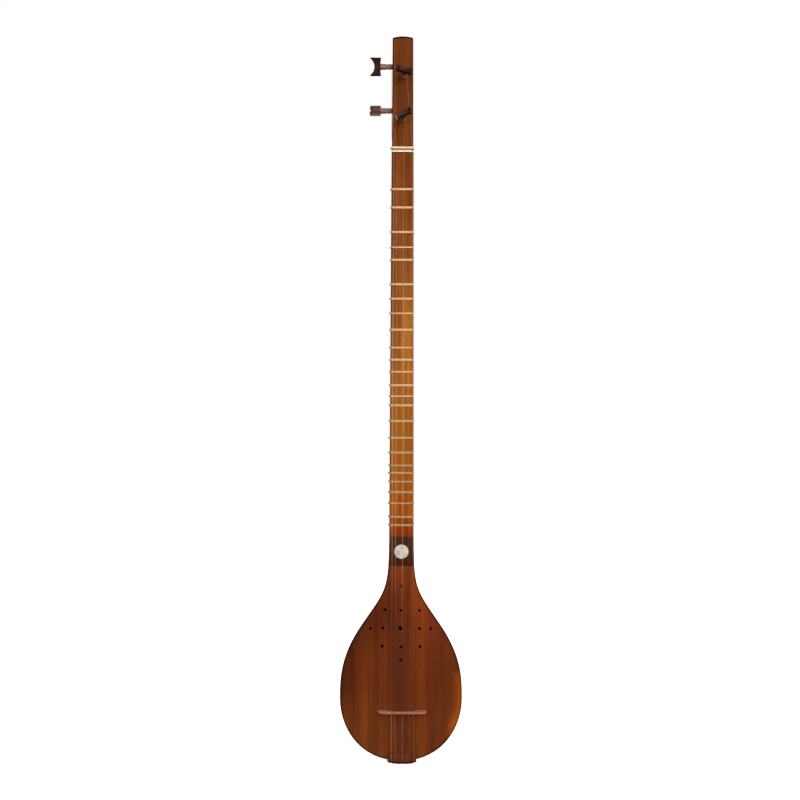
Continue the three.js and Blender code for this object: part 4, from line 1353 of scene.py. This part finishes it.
def darken_left_edge(skin, width):
    """Marks the strip along the left edge of the neck, where shade is painted into the varnish."""
    mask = skin.verts.layers.float.new("left_edge")
    for vert in skin.verts:
        inwards = vert.co.x + neck_size(vert.co.z)[0]
        vert[mask] = max(0.0, min(1.0, left_edge_shade_strength * (1 - inwards / width)))


def above_arch(middle):
    """A block above an arch across the head, whose ends lie lower than its middle."""
    bend = (head_top_half**2 + cap_crown**2) / (2 * cap_crown)
    reach = head_top_half + head_step / 2
    near = []
    for step in range(crown_steps + 1):
        across = reach * (2 * step / crown_steps - 1)
        near.append(Vector((across, -overrun, middle - bend + math.sqrt(bend**2 - across**2))))
    near.append(Vector((reach, -overrun, head_top + overrun)))
    near.append(Vector((-reach, -overrun, head_top + overrun)))
    far = [point + Vector((0, head_top_depth + 2 * overrun, 0)) for point in near]
    return column([near, far])


def box_skin(low, high):
    skin = bmesh.new()
    matrix = Matrix.Translation((low + high) / 2) @ Matrix.Diagonal((*(high - low), 1))
    bmesh.ops.create_cube(skin, size=1, matrix=matrix)
    return skin


def peg_hole(seat):
    radius = peg_seat_radius + peg_fit
    tip = peg_tip_radius + peg_fit
    beyond = seat.through + overrun
    taper = tip - (radius - tip) * overrun / seat.through
    profile = ((0, -beyond), (taper, -beyond), (radius, 0), (radius, overrun), (0, overrun))
    return moved(turned(profile, shaft_steps), seat.matrix)


def facing_ring(height, front, back, radius):
    """A facing's section at a height: flat behind, with rounded edges in front."""
    half = neck_size(height)[0]
    left = [Vector((-half, back, height))]
    for step in range(corner_steps + 1):
        turn = quarter_turn * step / corner_steps
        across = -half + radius * (1 - math.cos(turn))
        left.append(Vector((across, front + radius * (1 - math.sin(turn)), height)))
    right = [Vector((-point.x, point.y, height)) for point in reversed(left)]
    return left + right


def fingerboard():
    """The facing on the neck, with a painted sheen that is lightest along its middle."""
    heights = even_steps(facing_low.z, facing_high.z - facing_low.z, facing_steps)
    rings = [facing_ring(height, 0, facing_high.y, facing_edge_radius) for height in heights]
    skin = column(rings)
    # Painted sheen: lighter along the middle of the facing and darker towards both ends
    tones = (
        (facing_low.z, (0.54, 0.27, 0.1)),
        (273 * mm, (0.62, 0.33, 0.12)),
        (296 * mm, (0.86, 0.69, 0.25)),
        (390 * mm, (0.77, 0.82, 0.54)),
        (450 * mm, (0.75, 0.79, 0.52)),
        (495 * mm, (0.69, 0.74, 0.65)),
        (577 * mm, (0.54, 0.5, 0.38)),
        (641 * mm, (0.43, 0.36, 0.31)),
        (691 * mm, (0.38, 0.28, 0.17)),
        (facing_high.z, (0.38, 0.28, 0.17)),
    )
    darken_left_edge(skin, facing_edge_radius)
    finish = wood("fingerboard_varnish", colours().facing_dark, colours().facing_light, lines=760.0,
                  streaks=170.0, tones=tones, line_strength=0.4, shades=painted_edge_shades)
    finish_piece("fingerboard_finish", skin, finish, "root", ["fingerboard"])


def throat_plate():
    """The dark plate at the throat, with the pocket for its disc."""
    skin = copied("throat_plate")
    ease(skin, eased_width("throat_plate"), 2)
    tones = (
        (plate_low.z, (0.87, 0.52, 0.33)),
        ((plate_low.z + plate_high.z) / 2, (1.0, 1.0, 1.0)),
        (plate_high.z, (1.0, 1.3, 1.6)),
    )
    finish = wood("plate_varnish", colours().plate_dark, colours().plate_light, lines=900.0, streaks=180.0,
                  rough=(0.3, 0.44), rays=0.1, tones=tones)
    finish_piece("throat_plate_finish", skin, finish, "root", ["throat_plate"])


def pearl_disc():
    """The disc of mother-of-pearl, slightly crowned and left bare."""
    radius = (disc_high.x - disc_low.x) / 2
    thickness = disc_high.y - disc_low.y
    edge = sizes().eased_edge
    corner = edge * disc_corner_share
    crown = [(radius * out, thickness + edge * rise) for out, rise in disc_crown_shares]
    profile = (
        (0, 0), (radius, 0), (radius, thickness - edge), (radius - corner, thickness - corner),
        (radius - edge, thickness), *crown,
    )
    centre = Vector(((disc_low.x + disc_high.x) / 2, disc_high.y, (disc_low.z + disc_high.z) / 2))
    matrix = Matrix.Translation(centre) @ Matrix.Rotation(quarter_turn, 4, "X")
    skin = moved(turned(profile, disc_steps), matrix)
    finish_piece("pearl_disc_finish", skin, pearl_finish(), "root", ["pearl_disc"])


def head_cap():
    """The dark, arched cap on top of the head."""
    skin = copied("head_cap")
    ease(skin, eased_width("head_cap"))
    finish = wood("cap_varnish", colours().cap_dark, colours().cap_light, lines=900.0, streaks=200.0,
                  wear=0.1, specular=0.03)
    finish_piece("head_cap_finish", skin, finish, "root", ["head_cap"])


def nut():
    """The bone nut, filed smooth, with a slot under each string and painted shade along its upper edge."""
    skin = copied("nut")
    ease(skin, eased_width("nut"), 2)
    tones = (
        (nut_low.z, (1.0, 1.0, 1.0)),
        (nut_high.z - nut_shade_band, (1.0, 1.0, 1.0)),
        (nut_high.z - nut_shade_full, (0.3, 0.26, 0.17)),
        (nut_high.z, (0.3, 0.26, 0.17)),
    )
    finish = pale("bone_polish", colours().bone_dark, colours().bone_light, bone_patches, bone_waves,
                  tones=tones)
    finish_piece("nut_finish", skin, finish, "root", ["nut"])


def string_holder():
    """The wooden piece on the tail that the strings end in."""
    skin = copied("string_holder")
    close_kerfs(skin)
    ease(skin, eased_width("string_holder"), 2)
    tones = grey_tones((
        (holder_low.z, 0.25), (holder_low.z + holder_shade_full, 0.28),
        (holder_low.z + holder_shade_end, 0.82), (holder_high.z, 0.82),
    ))
    finish = wood("holder_varnish", colours().holder_dark, colours().holder_light, lines=800.0,
                  streaks=150.0, wear=0.1, specular=0.05, tones=tones)
    finish_piece("string_holder_finish", skin, finish, "root", ["string_holder"])


def close_kerfs(skin):
    """Brings the walls of the kerfs up to their strings."""
    inwards = kerf_cut_width / 2 - sizes().string_diameter / 2 - kerf_ease
    for vert in skin.verts:
        for share in string_holder_shares:
            aside = vert.co.x - across_box(holder_low, holder_high, share)
            if abs(abs(aside) - kerf_cut_width / 2) < kerf_ease:
                vert.co.x -= math.copysign(inwards, aside)


def across_box(low, high, share):
    """Sideways place in a box, at a share of its half width from the middle."""
    return (low.x + high.x) / 2 + share * ((high.x - low.x) / 2)


def blocks():
    """The inner blocks keep their shape and get plain, unvarnished wood, darkened as painted shade inside
    the bowl.
    """
    finish = wood("block_wood_bare", colours().block_dark, colours().block_light, rough=(0.6, 0.8),
                  rays=0.1)
    for node in ("tail_block", "throat_block"):
        material_slots = frame["nodes"][node].data.materials
        material_slots.clear()
        material_slots.append(finish)


def bridge():
    """The loose bridge: an arch on two feet, thinner towards its top, with a notch under each string."""
    half = (bridge_high.x - bridge_low.x) / 2
    middle = (bridge_high + bridge_low) / 2
    base = -bridge_high.y
    top = -bridge_low.y
    inner = half - bridge_foot_length
    arch = half - bridge_foot_length - bridge_arch_run
    points = [(-half, base)]
    for step in range(2 * arch_steps + 1):
        share = abs(step - arch_steps) / arch_steps
        side = 1 if step > arch_steps else -1
        across = share**2 * inner + 2 * share * (1 - share) * arch
        rise = (1 - share**2) * bridge_arch_rise + share**2 * base
        points.append((side * across, rise))
    points += [(half, base), (half - bridge_end_step, bridge_end_height), (half - bridge_end_slope, top)]
    for share in reversed(string_bridge_shares):
        notch = share * half
        points += [
            (notch + string_notch_width / 2, top), (notch, top - string_notch_depth),
            (notch - string_notch_width / 2, top),
        ]
    points += [(-half + bridge_end_slope, top), (-half + bridge_end_step, bridge_end_height)]
    skin = bmesh.new()
    verts = [skin.verts.new((middle.x + across, -rise, 0)) for across, rise in points]
    face = skin.faces.new(verts)
    pulled = bmesh.ops.extrude_face_region(skin, geom=[face], use_keep_orig=True)["geom"]
    pulled_verts = {item for item in pulled if isinstance(item, bmesh.types.BMVert)}
    for vert in skin.verts:
        share = -vert.co.y / top
        thickness = bridge_foot_thickness + (bridge_top_thickness - bridge_foot_thickness) * share
        vert.co.z = middle.z + (thickness / 2 if vert in pulled_verts else -thickness / 2)
    bmesh.ops.recalc_face_normals(skin, faces=skin.faces)
    ease(skin, eased_width("bridge"), 2)
    finish = wood("bridge_bare", colours().bridge_dark, colours().bridge_light, turn=(0, quarter_turn, 0),
                  lines=900.0, streaks=260.0, rough=(0.5, 0.66), rays=0.15, line_strength=0.25)
    finish_piece("bridge_finish", skin, finish, "bridge", ["bridge"])


# Gut

def gut_finish(name, dark, light, tones=None):
    return pale(name, dark, light, gut_patches, gut_waves, (0.34, 0.5), tones)


def tied_routes(height, turns, lift=0):
    """Routes of a tied band: its turns, its knot on the left edge and the two cut ends."""
    radius = sizes().gut_diameter / 2
    pitch = sizes().gut_pitch
    low = height - (turns - 1) * pitch / 2
    ring = neck_ring(height, radius + rest_clearance, lift)
    in_front = 2 * (corner_steps + 1)
    behind = len(ring) - in_front + 1
    winding = []
    for turn in range(turns):
        climb = pitch if turn < turns - 1 else 0
        for index, point in enumerate(ring):
            share = max(0, index - in_front + 1) / behind
            winding.append(Vector((point.x, point.y, low + turn * pitch + climb * share)))
    half = neck_size(height)[0]
    centre = Vector((-half - knot_aside * radius, knot_from_front, height))
    knot = []
    for step in range(knot_steps):
        turn = whole_turn * step / knot_steps
        swing = knot_swing * radius
        reach = knot_reach * radius + swing * math.cos(3 * turn)
        knot.append(centre + Vector((
            swing * math.sin(3 * turn), reach * math.cos(2 * turn), reach * math.sin(2 * turn),
        )))
    routes = [(winding, False), (knot, True)]
    for marks in cut_ends:
        end = [centre] + [centre + Vector([share * radius for share in mark]) for mark in marks]
        routes.append((rounded(end, radius), False))
    return routes


def frets():
    """Twenty-five frets of gut, each wound round the neck and tied on its left edge."""
    tones = (
        (facing_low.z, (0.58, 0.56, 0.53)),
        (380 * mm, (0.68, 0.66, 0.62)),
        (430 * mm, (0.9, 0.9, 0.9)),
        (facing_high.z, (0.98, 0.98, 0.98)),
    )
    finish = gut_finish("fret_gut", colours().gut_dark, colours().gut_light, tones)
    for number in range(1, fret_count + 1):
        name = f"fret_{number:02d}"
        low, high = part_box(name)
        height = (low.z + high.z) / 2
        turns = sizes().narrow_fret_turns if number in narrow_frets else sizes().wide_fret_turns
        skin = strands(tied_routes(height, turns), sizes().gut_diameter / 2)
        finish_piece(f"{name}_finish", skin, finish, name, [name])


def string_tie():
    """The band of gut above the nut that holds the strings down."""
    lift = nut_rise() + sizes().string_diameter / 2
    skin = strands(tied_routes(tie_height, sizes().wide_fret_turns, lift), sizes().gut_diameter / 2)
    finish = gut_finish("tie_gut", colours().tie_dark, colours().tie_light)
    finish_piece("string_tie_finish", skin, finish, "root", ["string_tie"])


# Pegs, windings and strings

def peg_skin(seat, start_turn):
    """A turned shaft with a collar, and a carved knob whose ends flare."""
    tip = -seat.through + peg_tip_inset
    reach = seat.reach
    collar = [(peg_collar_radius * share, reach + rise) for share, rise in peg_collar_rings]
    profile = (
        (0, tip), (peg_tip_radius * peg_tip_share, tip), (peg_tip_radius, tip + peg_tip_chamfer),
        (peg_seat_radius, 0), (peg_seat_radius, peg_waist_reach),
        (peg_radius, peg_waist_reach + peg_waist_run), (peg_radius, reach - peg_collar_run),
        *collar, (0, collar[-1][1]),
    )
    shaft = turned(profile, shaft_steps)
    skin = combined(shaft, knob_skin(seat), "UNION")
    skin = combined(skin, string_hole(start_turn), "DIFFERENCE")
    mask = skin.verts.layers.float.new("knob_part")
    for vert in skin.verts:
        share = smooth_share((vert.co.z - reach + knob_shade_start) / knob_shade_run)
        # The knob's darker wood and its painted shade, peg by peg
        vert[mask] = share * knob_darkness_and_shade[seat.name]
    return moved(skin, seat.matrix)


def knob_skin(seat):
    """The knob: a bow-tie with an arc cut out of its outer side, fluted towards its two ends."""
    half = seat.knob_length / 2
    sag = knob_end_height - knob_waist_height
    bend = (half**2 + sag**2) / (2 * sag)
    rings = []
    for step in range(knob_steps + 1):
        place = 2 * step / knob_steps - 1
        flare = (bend - math.sqrt(bend**2 - (place * half) ** 2)) / sag
        base = seat.reach - knob_inner_flare * abs(place) ** 3
        height = seat.reach + knob_waist_height + sag * flare - base
        thickness = knob_waist_thickness + (knob_end_thickness - knob_waist_thickness) * flare
        cut = sizes().flute_depth * smooth_share(abs(place))
        section = knob_section(height, thickness / 2, cut)
        rings.append([Vector((place * half, across, base + rise)) for across, rise in section])
    first = [dished(rings[0], size, share) for size, share in reversed(knob_end_dish)]
    last = [dished(rings[-1], size, share) for size, share in knob_end_dish]
    skin = column(first + rings + last)
    bmesh.ops.rotate(
        skin, verts=skin.verts, cent=(0, 0, 0), matrix=Matrix.Rotation(seat.knob_turn, 3, "Z"),
    )
    return skin


def knob_section(height, half, cut):
    """A section of the knob as distances across and outwards: an oblong with flutes in its broad sides."""
    outer = half - knob_tip_half
    right = []
    for step in range(1, corner_steps + 1):
        turn = quarter_turn * (step / corner_steps - 1)
        right.append((half - knob_corner * (1 - math.cos(turn)), knob_corner * (1 + math.sin(turn))))
    for step in range(1, flute_steps):
        share = step / flute_steps
        flute = cut * (1 - math.cos(whole_turn * flute_count * share)) / 2
        right.append((half - flute, knob_corner + (height - knob_corner - outer) * share))
    for step in range(corner_steps + 1):
        turn = quarter_turn * step / corner_steps
        right.append((half - outer * (1 - math.cos(turn)), height - outer * (1 - math.sin(turn))))
    return right + [(-across, rise) for across, rise in reversed(right)]


def dished(ring, size, share):
    """A smaller copy of a knob's end section, sunk towards the knob's waist."""
    middle = sum(ring, Vector()) / len(ring)
    sunk = Vector((math.copysign(knob_end_hollow * share, middle.x), 0, 0))
    return [middle + (point - middle) * size - sunk for point in ring]


def string_hole(start_turn):
    """The hole in a peg that the end of its string goes into."""
    end = WindingEnd(start_turn)
    radius = string_hole_radius
    skin = turned(((0, 0), (radius, 0), (radius, overrun), (0, overrun)), hole_steps)
    matrix = end.outwards.to_track_quat("Z", "Y").to_matrix().to_4x4()
    matrix.translation = end.outwards * (string_end_radius - radius) + end.round * winding_bend_radius
    matrix.translation.z = end.along
    return moved(skin, matrix)


class WindingEnd:
    """Where the last turn of a winding leaves the peg's skin, and the ways outwards and round there."""

    def __init__(self, start_turn):
        turns = sizes().winding_turns
        self.turn = start_turn + whole_turn * turns
        self.along = winding_from_head + sizes().winding_pitch * turns
        self.outwards = Vector((math.cos(self.turn), math.sin(self.turn), 0))
        self.round = Vector((-math.sin(self.turn), math.cos(self.turn), 0))


def winding_route(start_turn):
    """The turns on a peg, then a bend and a short straight end in the peg's hole."""
    count = sizes().winding_turns * loop_steps
    points = []
    for step in range(count + 1):
        turn = start_turn + whole_turn * step / loop_steps
        points.append(on_winding(turn, winding_from_head + sizes().winding_pitch * step / loop_steps))
    end = WindingEnd(start_turn)
    pivot = on_winding(end.turn, end.along) - end.outwards * winding_bend_radius
    for step in range(1, bend_steps + 1):
        bend = quarter_turn * step / bend_steps
        way = end.outwards * math.cos(bend) + end.round * math.sin(bend)
        points.append(pivot + winding_bend_radius * way)
    inner = end.outwards * string_end_radius + end.round * winding_bend_radius
    points.append(Vector((inner.x, inner.y, end.along)))
    return points


def nut_rise():
    """Height of a string's middle over the facing, where it lies in the nut."""
    return nut_slot_rise + sizes().string_diameter / 2 + rest_clearance


def string_route(index, seat):
    """A string's way from the holder over bridge and nut to its peg, and the turn where it arrives."""
    radius = sizes().string_diameter / 2
    name = f"string_{index + 1}"
    nut_across = string_nut_shares[index] * nut_half
    bridge_across = across_box(bridge_low, bridge_high, string_bridge_shares[index])
    holder_across = across_box(holder_low, holder_high, string_holder_shares[index])
    bridge_height = (bridge_low.z + bridge_high.z) / 2
    lip_top = lip_height()
    kerf_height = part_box(name)[0].z + radius
    over_lip = holder_low.y - radius - rest_clearance
    past_tie = tie_high.z + rest_clearance
    slope = (bridge_across - nut_across) / (nut_middle.z - bridge_height)
    points = [
        Vector((holder_across, holder_low.y + kerf_length - kerf_end_radii * radius, kerf_height)),
        Vector((holder_across, over_lip, kerf_height)),
        Vector((holder_across, over_lip, lip_top)),
        Vector((bridge_across, -string_bridge_rise, bridge_height - bridge_top_thickness / 2)),
        Vector((bridge_across, -string_bridge_rise, bridge_height + bridge_top_thickness / 2)),
        Vector((nut_across, -nut_rise(), nut_low.z)),
        Vector((nut_across, -nut_rise(), nut_high.z)),
    ]
    aim = nut_across - slope * (past_tie - nut_middle.z)
    seat_height = radius + rest_clearance
    points.append(Vector((aim, -seat_height, past_tie)))
    last = points[-1]
    if seat.on_side:
        half = neck_size(past_tie)[0]
        face_run = half + seat_height + aim
        side_run = seat.place.y - winding_radius() + seat_height
        share = face_run / (face_run + side_run)
        last = Vector((-half - seat_height, -seat_height, past_tie + (seat.place.z - past_tie) * share))
        points.append(last)
    up, across = seat.seen(last)
    touch = math.atan2(across, up) + math.acos(winding_radius() / math.hypot(up, across))
    route = rounded(points, string_bend_radius)
    wrap = whole_turn / 2
    wrap_steps = loop_steps // 2
    for step in range(wrap_steps + 1):
        turn = touch + wrap * step / wrap_steps
        route.append(seat.matrix @ on_winding(turn, string_from_head))
    return route, touch + wrap


def lip_height():
    """Height of the string holder's lip in front of the soundboard."""
    shape = frame["nodes"]["string_holder"].data
    return max(vert.co.z for vert in shape.vertices if vert.co.y < 0)


def pegs_and_strings():
    """Each string with its peg and the turns of string on it."""
    for index, name in enumerate(peg_turns):
        seat = PegSeat(name)
        route, start_turn = string_route(index, seat)
        radius = sizes().string_diameter / 2
        skin = strands([(route, False)], radius)
        finish_piece(f"string_{index + 1}_finish", skin, string_finish(index), "root",
                     [f"string_{index + 1}"])
        skin = peg_skin(seat, start_turn)
        body = f"peg_{name}"
        finish_piece(f"peg_{name}_finish", skin, peg_finish(seat.on_side), body, [body])
        skin = moved(strands([(winding_route(start_turn), False)], radius), seat.matrix)
        finish = metal("wound_wire", colours().winding, winding_metallic)
        finish_piece(f"winding_{name}_finish", skin, finish, body, [f"winding_{name}"])


# Stage

def camera():
    stage = bpy.context.scene.setar_stage
    data = bpy.data.cameras.new("camera")
    data.lens = stage.lens
    viewer = placed("camera", data)
    viewer.location = (stage.aside, -stage.distance, stage.height)
    viewer.rotation_euler = (quarter_turn, stage.roll, 0)
    bpy.context.scene.camera = viewer


def softbox(name, place, width, power):
    data = bpy.data.lights.new(name, "AREA")
    data.shape = "SQUARE"
    data.size = width
    data.energy = power
    light = placed(name, data)
    light.location = place
    light.rotation_euler = (light_aim - place).to_track_quat("-Z", "Y").to_euler()


def floor():
    skin = bmesh.new()
    bmesh.ops.create_grid(skin, x_segments=1, y_segments=1, size=floor_half)
    ground = bare_object("floor", skin)
    for vert in ground.data.vertices:
        vert.co.z = -floor_drop
    material, recipe, shader = start_material("pale_floor")
    place = material_place(recipe)
    cloud = recipe.noise(recipe.stretched(place, floor_waves), 2.0)
    seen = recipe.add("LightPath", output="Is Camera Ray")
    white = recipe.blend(cloud, display_colour(*floor_cloud), display_colour(*floor_clear))
    colour = recipe.blend(seen, display_colour(*floor_seen_by_light), white)
    glow = recipe.times(seen, bpy.context.scene.setar_stage.floor_glow)
    recipe.fill(shader, {"Base Color": colour, "Emission Color": white, "Emission Strength": glow})
    shader.inputs["Roughness"].default_value = floor_rough
    shader.inputs["Specular IOR Level"].default_value = floor_specular
    ground.data.materials.append(material)


def room():
    """White behind the instrument, and a dimmer, even light from all round."""
    world = bpy.data.worlds.new("room")
    world.use_nodes = True
    recipe = Recipe(world.node_tree)
    seen = recipe.add("LightPath", output="Is Camera Ray")
    strength = recipe.spread(seen, 0.0, 1.0, bpy.context.scene.setar_stage.room_light, 1.0)
    background = world.node_tree.nodes["Background"]
    background.inputs["Color"].default_value = (1, 1, 1, 1)
    recipe.tree.links.new(strength, background.inputs["Strength"])
    bpy.context.scene.world = world


def stage():
    """Camera, floor, room and four softboxes."""
    scene = bpy.context.scene
    scene.view_settings.view_transform = "Standard"
    camera()
    floor()
    room()
    for name, (place, width, power) in softboxes.items():
        softbox(name, place, width, getattr(scene.setar_stage, power))


# Operators

class SETAR_OT_stage(bpy.types.Operator):
    """Sets up the camera, the floor, the room and four softboxes"""
    bl_idname = "setar.stage"
    bl_label = "Stage"
    bl_options = {"REGISTER", "UNDO"}

    def execute(self, context):
        stage()
        return {"FINISHED"}


class SETAR_OT_soundboard(bpy.types.Operator):
    """Adds the thin board with its thirteen sound holes"""
    bl_idname = "setar.soundboard"
    bl_label = "Soundboard"
    bl_options = {"REGISTER", "UNDO"}

    def execute(self, context):
        soundboard()
        return {"FINISHED"}


class SETAR_OT_staves(bpy.types.Operator):
    """Adds the bent ribs of the bowl"""
    bl_idname = "setar.staves"
    bl_label = "Bowl staves"
    bl_options = {"REGISTER", "UNDO"}

    def execute(self, context):
        staves()
        return {"FINISHED"}


class SETAR_OT_blocks(bpy.types.Operator):
    """Gives the two inner blocks their bare wood"""
    bl_idname = "setar.blocks"
    bl_label = "Inner blocks"
    bl_options = {"REGISTER", "UNDO"}

    def execute(self, context):
        blocks()
        return {"FINISHED"}


class SETAR_OT_neck(bpy.types.Operator):
    """Adds the neck and head, drilled for the pegs"""
    bl_idname = "setar.neck"
    bl_label = "Neck and head"
    bl_options = {"REGISTER", "UNDO"}

    def execute(self, context):
        neck()
        return {"FINISHED"}


class SETAR_OT_head_cap(bpy.types.Operator):
    """Adds the dark strip on top of the head"""
    bl_idname = "setar.head_cap"
    bl_label = "Head cap"
    bl_options = {"REGISTER", "UNDO"}

    def execute(self, context):
        head_cap()
        return {"FINISHED"}


class SETAR_OT_fingerboard(bpy.types.Operator):
    """Adds the facing on the neck"""
    bl_idname = "setar.fingerboard"
    bl_label = "Fingerboard"
    bl_options = {"REGISTER", "UNDO"}

    def execute(self, context):
        fingerboard()
        return {"FINISHED"}


class SETAR_OT_throat_plate(bpy.types.Operator):
    """Adds the dark plate at the throat"""
    bl_idname = "setar.throat_plate"
    bl_label = "Throat plate"
    bl_options = {"REGISTER", "UNDO"}

    def execute(self, context):
        throat_plate()
        return {"FINISHED"}


class SETAR_OT_pearl_disc(bpy.types.Operator):
    """Adds the round of mother-of-pearl"""
    bl_idname = "setar.pearl_disc"
    bl_label = "Pearl disc"
    bl_options = {"REGISTER", "UNDO"}

    def execute(self, context):
        pearl_disc()
        return {"FINISHED"}


class SETAR_OT_nut(bpy.types.Operator):
    """Adds the slotted bone nut"""
    bl_idname = "setar.nut"
    bl_label = "Nut"
    bl_options = {"REGISTER", "UNDO"}

    def execute(self, context):
        nut()
        return {"FINISHED"}


class SETAR_OT_frets(bpy.types.Operator):
    """Adds the twenty-five tied frets of gut"""
    bl_idname = "setar.frets"
    bl_label = "Frets"
    bl_options = {"REGISTER", "UNDO"}

    def execute(self, context):
        frets()
        return {"FINISHED"}


class SETAR_OT_string_tie(bpy.types.Operator):
    """Adds the band of gut above the nut"""
    bl_idname = "setar.string_tie"
    bl_label = "String tie"
    bl_options = {"REGISTER", "UNDO"}

    def execute(self, context):
        string_tie()
        return {"FINISHED"}


class SETAR_OT_bridge(bpy.types.Operator):
    """Adds the loose bridge"""
    bl_idname = "setar.bridge"
    bl_label = "Bridge"
    bl_options = {"REGISTER", "UNDO"}

    def execute(self, context):
        bridge()
        return {"FINISHED"}


class SETAR_OT_string_holder(bpy.types.Operator):
    """Adds the wooden piece on the tail that the strings end in"""
    bl_idname = "setar.string_holder"
    bl_label = "String holder"
    bl_options = {"REGISTER", "UNDO"}

    def execute(self, context):
        string_holder()
        return {"FINISHED"}


class SETAR_OT_pegs_and_strings(bpy.types.Operator):
    """Adds the four strings with their pegs and windings"""
    bl_idname = "setar.pegs_and_strings"
    bl_label = "Pegs and strings"
    bl_options = {"REGISTER", "UNDO"}

    def execute(self, context):
        pegs_and_strings()
        return {"FINISHED"}


operators = (
    SETAR_OT_stage,
    SETAR_OT_soundboard,
    SETAR_OT_staves,
    SETAR_OT_blocks,
    SETAR_OT_neck,
    SETAR_OT_head_cap,
    SETAR_OT_fingerboard,
    SETAR_OT_throat_plate,
    SETAR_OT_pearl_disc,
    SETAR_OT_nut,
    SETAR_OT_frets,
    SETAR_OT_string_tie,
    SETAR_OT_bridge,
    SETAR_OT_string_holder,
    SETAR_OT_pegs_and_strings,
)


class SETAR_PT_pieces(bpy.types.Panel):
    """Lists the setar's pieces, sizes and colours"""
    bl_idname = "SETAR_PT_pieces"
    bl_label = "Setar"
    bl_space_type = "VIEW_3D"
    bl_region_type = "UI"
    bl_category = "Setar"

    def draw(self, context):
        layout = self.layout
        for operator in operators:
            layout.operator(operator.bl_idname)
        for group in (context.scene.setar_sizes, context.scene.setar_colours, context.scene.setar_stage):
            column_of_settings = layout.box().column()
            for key in group.__annotations__:
                column_of_settings.prop(group, key)


classes = (SetarSizes, SetarColours, SetarStage, *operators, SETAR_PT_pieces)


def register():
    for item in classes:
        bpy.utils.register_class(item)
    bpy.types.Scene.setar_sizes = PointerProperty(type=SetarSizes)
    bpy.types.Scene.setar_colours = PointerProperty(type=SetarColours)
    bpy.types.Scene.setar_stage = PointerProperty(type=SetarStage)


def unregister():
    del bpy.types.Scene.setar_stage
    del bpy.types.Scene.setar_colours
    del bpy.types.Scene.setar_sizes
    for item in reversed(classes):
        bpy.utils.unregister_class(item)


def main():
    register()
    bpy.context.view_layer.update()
    for operator in operators:
        getattr(bpy.ops.setar, operator.bl_idname.split(".")[1])()


if __name__ == "__main__":
    main()
